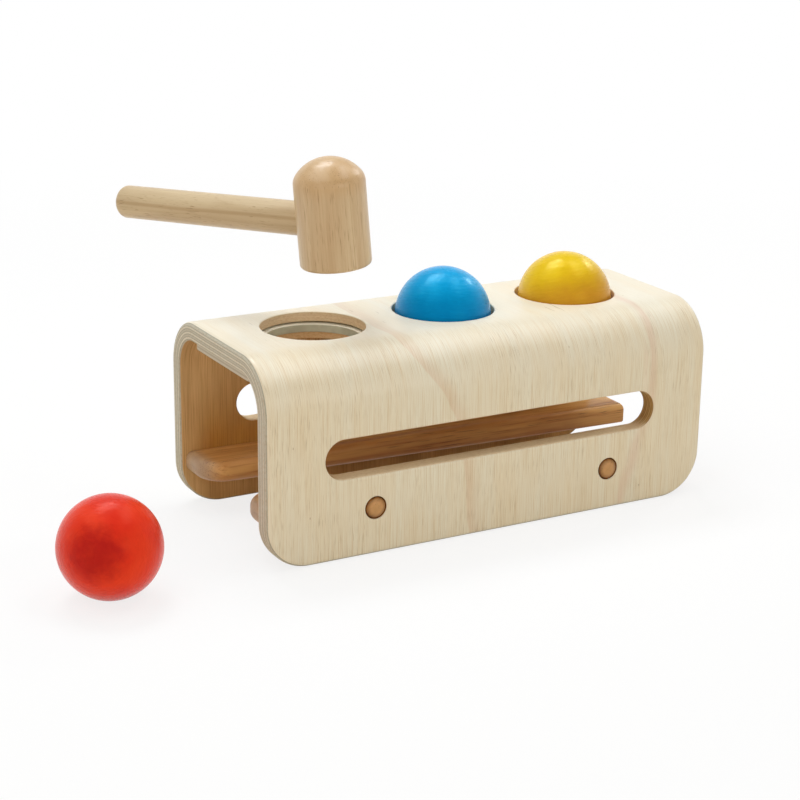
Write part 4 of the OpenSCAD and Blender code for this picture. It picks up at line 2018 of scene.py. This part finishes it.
@dataclass
class Studio:
    """Floor, lamps, world and camera."""

    lamps: tuple[Lamp, ...] = (
        Lamp("back_softbox", (0.0, 0.45, 0.89), 1.3, (0.60, 0.35), 6.5, (0.91, 0.955, 1.0)),
        Lamp("left_softbox", (-0.45, 0.10, 0.89), 1.3, (1.2, 0.9), 5.6, (0.91, 0.955, 1.0)),
        Lamp("right_softbox", (0.40, -0.06, 0.91), 1.3, (0.95, 0.34), 3.9, (0.95, 0.975, 1.0)),
        Lamp("left_fill", (-0.68, -0.60, 0.42), 0.8, (0.75, 0.64), 0.66, (1.0, 0.97, 0.90)),
        Lamp("low_fill", (0.20, -0.95, 0.26), 1.6, (0.8, 0.6), 2.8, (1.0, 0.97, 0.90)),
        Lamp("spark", (0.77, 0.26, 0.58), 1.2, (0.15, 0.15), 1.5),
    )
    world_light: float = 0.50
    world_tone: Colour = (1.0, 0.955, 0.87)
    ceiling: float = 0.3
    cove: Span = (0.75, 0.2)
    floor_half: float = 12.0
    floor_seen: Colour = (0.99, 0.99, 0.99)
    floor_bounce: Colour = (0.91, 0.88, 0.82)
    floor_white: float = 0.8
    floor_fade: Span = (0.3, 0.9)
    target: Triple = (0.0, 0.04665, 0.060)
    azimuth: float = -29.216
    elevation: float = 17.750
    roll: float = 0.786
    distance: float = 0.91637
    offset: Span = (-0.01958, -0.01110)
    lens: float = 87.40
    sensor: float = 36.0

    def lay_floor(self) -> None:
        """Plain floor that the camera sees as near white, and that keeps the toy's shadow."""
        step = np.linspace(-self.floor_half, self.floor_half, 3)
        flat = grid(step, step).reshape(-1, 2)
        points = np.pad(flat, ((0, 0), (0, 1)))
        mesh = bpy.data.meshes.new("floor")
        quads = [(0, 3, 4, 1), (1, 4, 5, 2), (3, 6, 7, 4), (4, 7, 8, 5)]
        mesh.from_pydata(points.tolist(), [], quads)
        floor = bpy.data.objects.new("floor", mesh)
        bpy.context.scene.collection.objects.link(floor)
        recipe = Recipe("floor_paper")
        looks = recipe.seen()
        shade = recipe.node("ShaderNodeBsdfDiffuse")
        recipe.feed(shade.inputs["Color"], recipe.mixed(looks, self.floor_bounce, self.floor_seen))
        away = recipe.vector_sum(Sum.LENGTH, recipe.node("ShaderNodeTexCoord").outputs["Object"])
        white = recipe.raised(away, *self.floor_fade, self.floor_white)
        glow = recipe.node("ShaderNodeEmission")
        blend = recipe.node("ShaderNodeMixShader")
        recipe.feed(blend.inputs["Fac"], recipe.times(looks, white))
        recipe.feed(blend.inputs[1], shade.outputs["BSDF"])
        recipe.feed(blend.inputs[2], glow.outputs["Emission"])
        output = recipe.tree.nodes["Material Output"]
        recipe.feed(output.inputs["Surface"], blend.outputs["Shader"])
        recipe.tree.nodes.remove(recipe.shader)
        mesh.materials.append(recipe.material)

    def light(self) -> None:
        """Hangs the lamps and sets a world that is brightest near the horizon and looks white."""
        for lamp in self.lamps:
            lamp.hang(Vector(self.target))
        world = bpy.data.worlds.new("studio")
        world.use_nodes = True
        bpy.context.scene.world = world
        recipe = Recipe.on_tree(world.node_tree)
        back = recipe.tree.nodes["Background"]
        way = recipe.node("ShaderNodeSeparateXYZ")
        recipe.feed(way.inputs["Vector"], recipe.node("ShaderNodeTexCoord").outputs["Generated"])
        cove = recipe.raised(way.outputs["Z"], *self.cove, self.ceiling)
        looks = recipe.seen()
        dimmed = recipe.plus(recipe.times(looks, 1.0 - self.world_light), self.world_light)
        recipe.feed(back.inputs["Strength"], recipe.times(cove, dimmed))
        recipe.feed(back.inputs["Color"], recipe.mixed(looks, self.world_tone, WHITE))

    def set_camera(self) -> None:
        """Sets the camera at the photograph's angle: back along azimuth and elevation, then rolled."""
        turn, rise, roll = (math.radians(a) for a in (self.azimuth, self.elevation, self.roll))
        back = Vector((math.sin(turn) * math.cos(rise), -math.cos(turn) * math.cos(rise), math.sin(rise)))
        level = Vector((math.cos(turn), math.sin(turn), 0))
        upright = back.cross(level)
        right = level * math.cos(roll) + upright * math.sin(roll)
        up = upright * math.cos(roll) - level * math.sin(roll)
        place = Vector(self.target) + back * self.distance + right * self.offset[0] + up * self.offset[1]
        data = bpy.data.cameras.new("camera")
        data.sensor_width = self.sensor
        data.lens = self.lens
        camera = bpy.data.objects.new("camera", data)
        stance = Matrix((right, up, back)).transposed().to_4x4()
        camera.matrix_world = Matrix.Translation(place) @ stance
        bpy.context.scene.collection.objects.link(camera)
        bpy.context.scene.camera = camera

    def build(self) -> None:
        """Makes the whole studio and sets the plain view transform."""
        self.lay_floor()
        self.light()
        self.set_camera()
        bpy.context.scene.view_settings.view_transform = "Standard"


def toy() -> list[Assembly]:
    """Every sub-assembly of the toy, in the order of making.

    Returns:
        The body with its board and rings, the rails with their pins, the balls and the hammer.
    """
    shell = BodyShell()
    parts: list[Assembly] = [shell, RingBoard(), *(Ring(place) for place in Place)]
    for wall in Wall:
        parts.append(Rail(wall))
        parts.extend(Pin(wall, end, x, z) for end, (x, z) in zip(End, shell.pin_places))
    parts += [
        # The red ball's axis points toward the camera, so its painted shade darkens the middle that faces
        # it; the seated balls' axes point down, so theirs darkens the lower half.
        Ball(Body.RED, Slot.RED, Paint.RED, RED_BALL, (-0.59, -0.79, 0.21)),
        Ball(Body.BLUE, Slot.BLUE, Paint.BLUE, (0.0, MIDDLE_Y, SEATED), (-0.1, -0.2, -1.0)),
        Ball(Body.YELLOW, Slot.YELLOW, Paint.YELLOW, (PITCH, MIDDLE_Y, SEATED), (0.1, -0.3, -1.0)),
        Hammer(),
    ]
    return parts


def main() -> None:
    """Loads the frame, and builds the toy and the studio."""
    logging.basicConfig(level=logging.INFO, format="%(message)s")
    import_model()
    for part in toy():
        for piece in part.make():
            LOG.info("%s: %d faces, rides on %s", piece.name, len(piece.data.polygons), part.body.value)
    Studio().build()


if __name__ == "__main__":
    main()
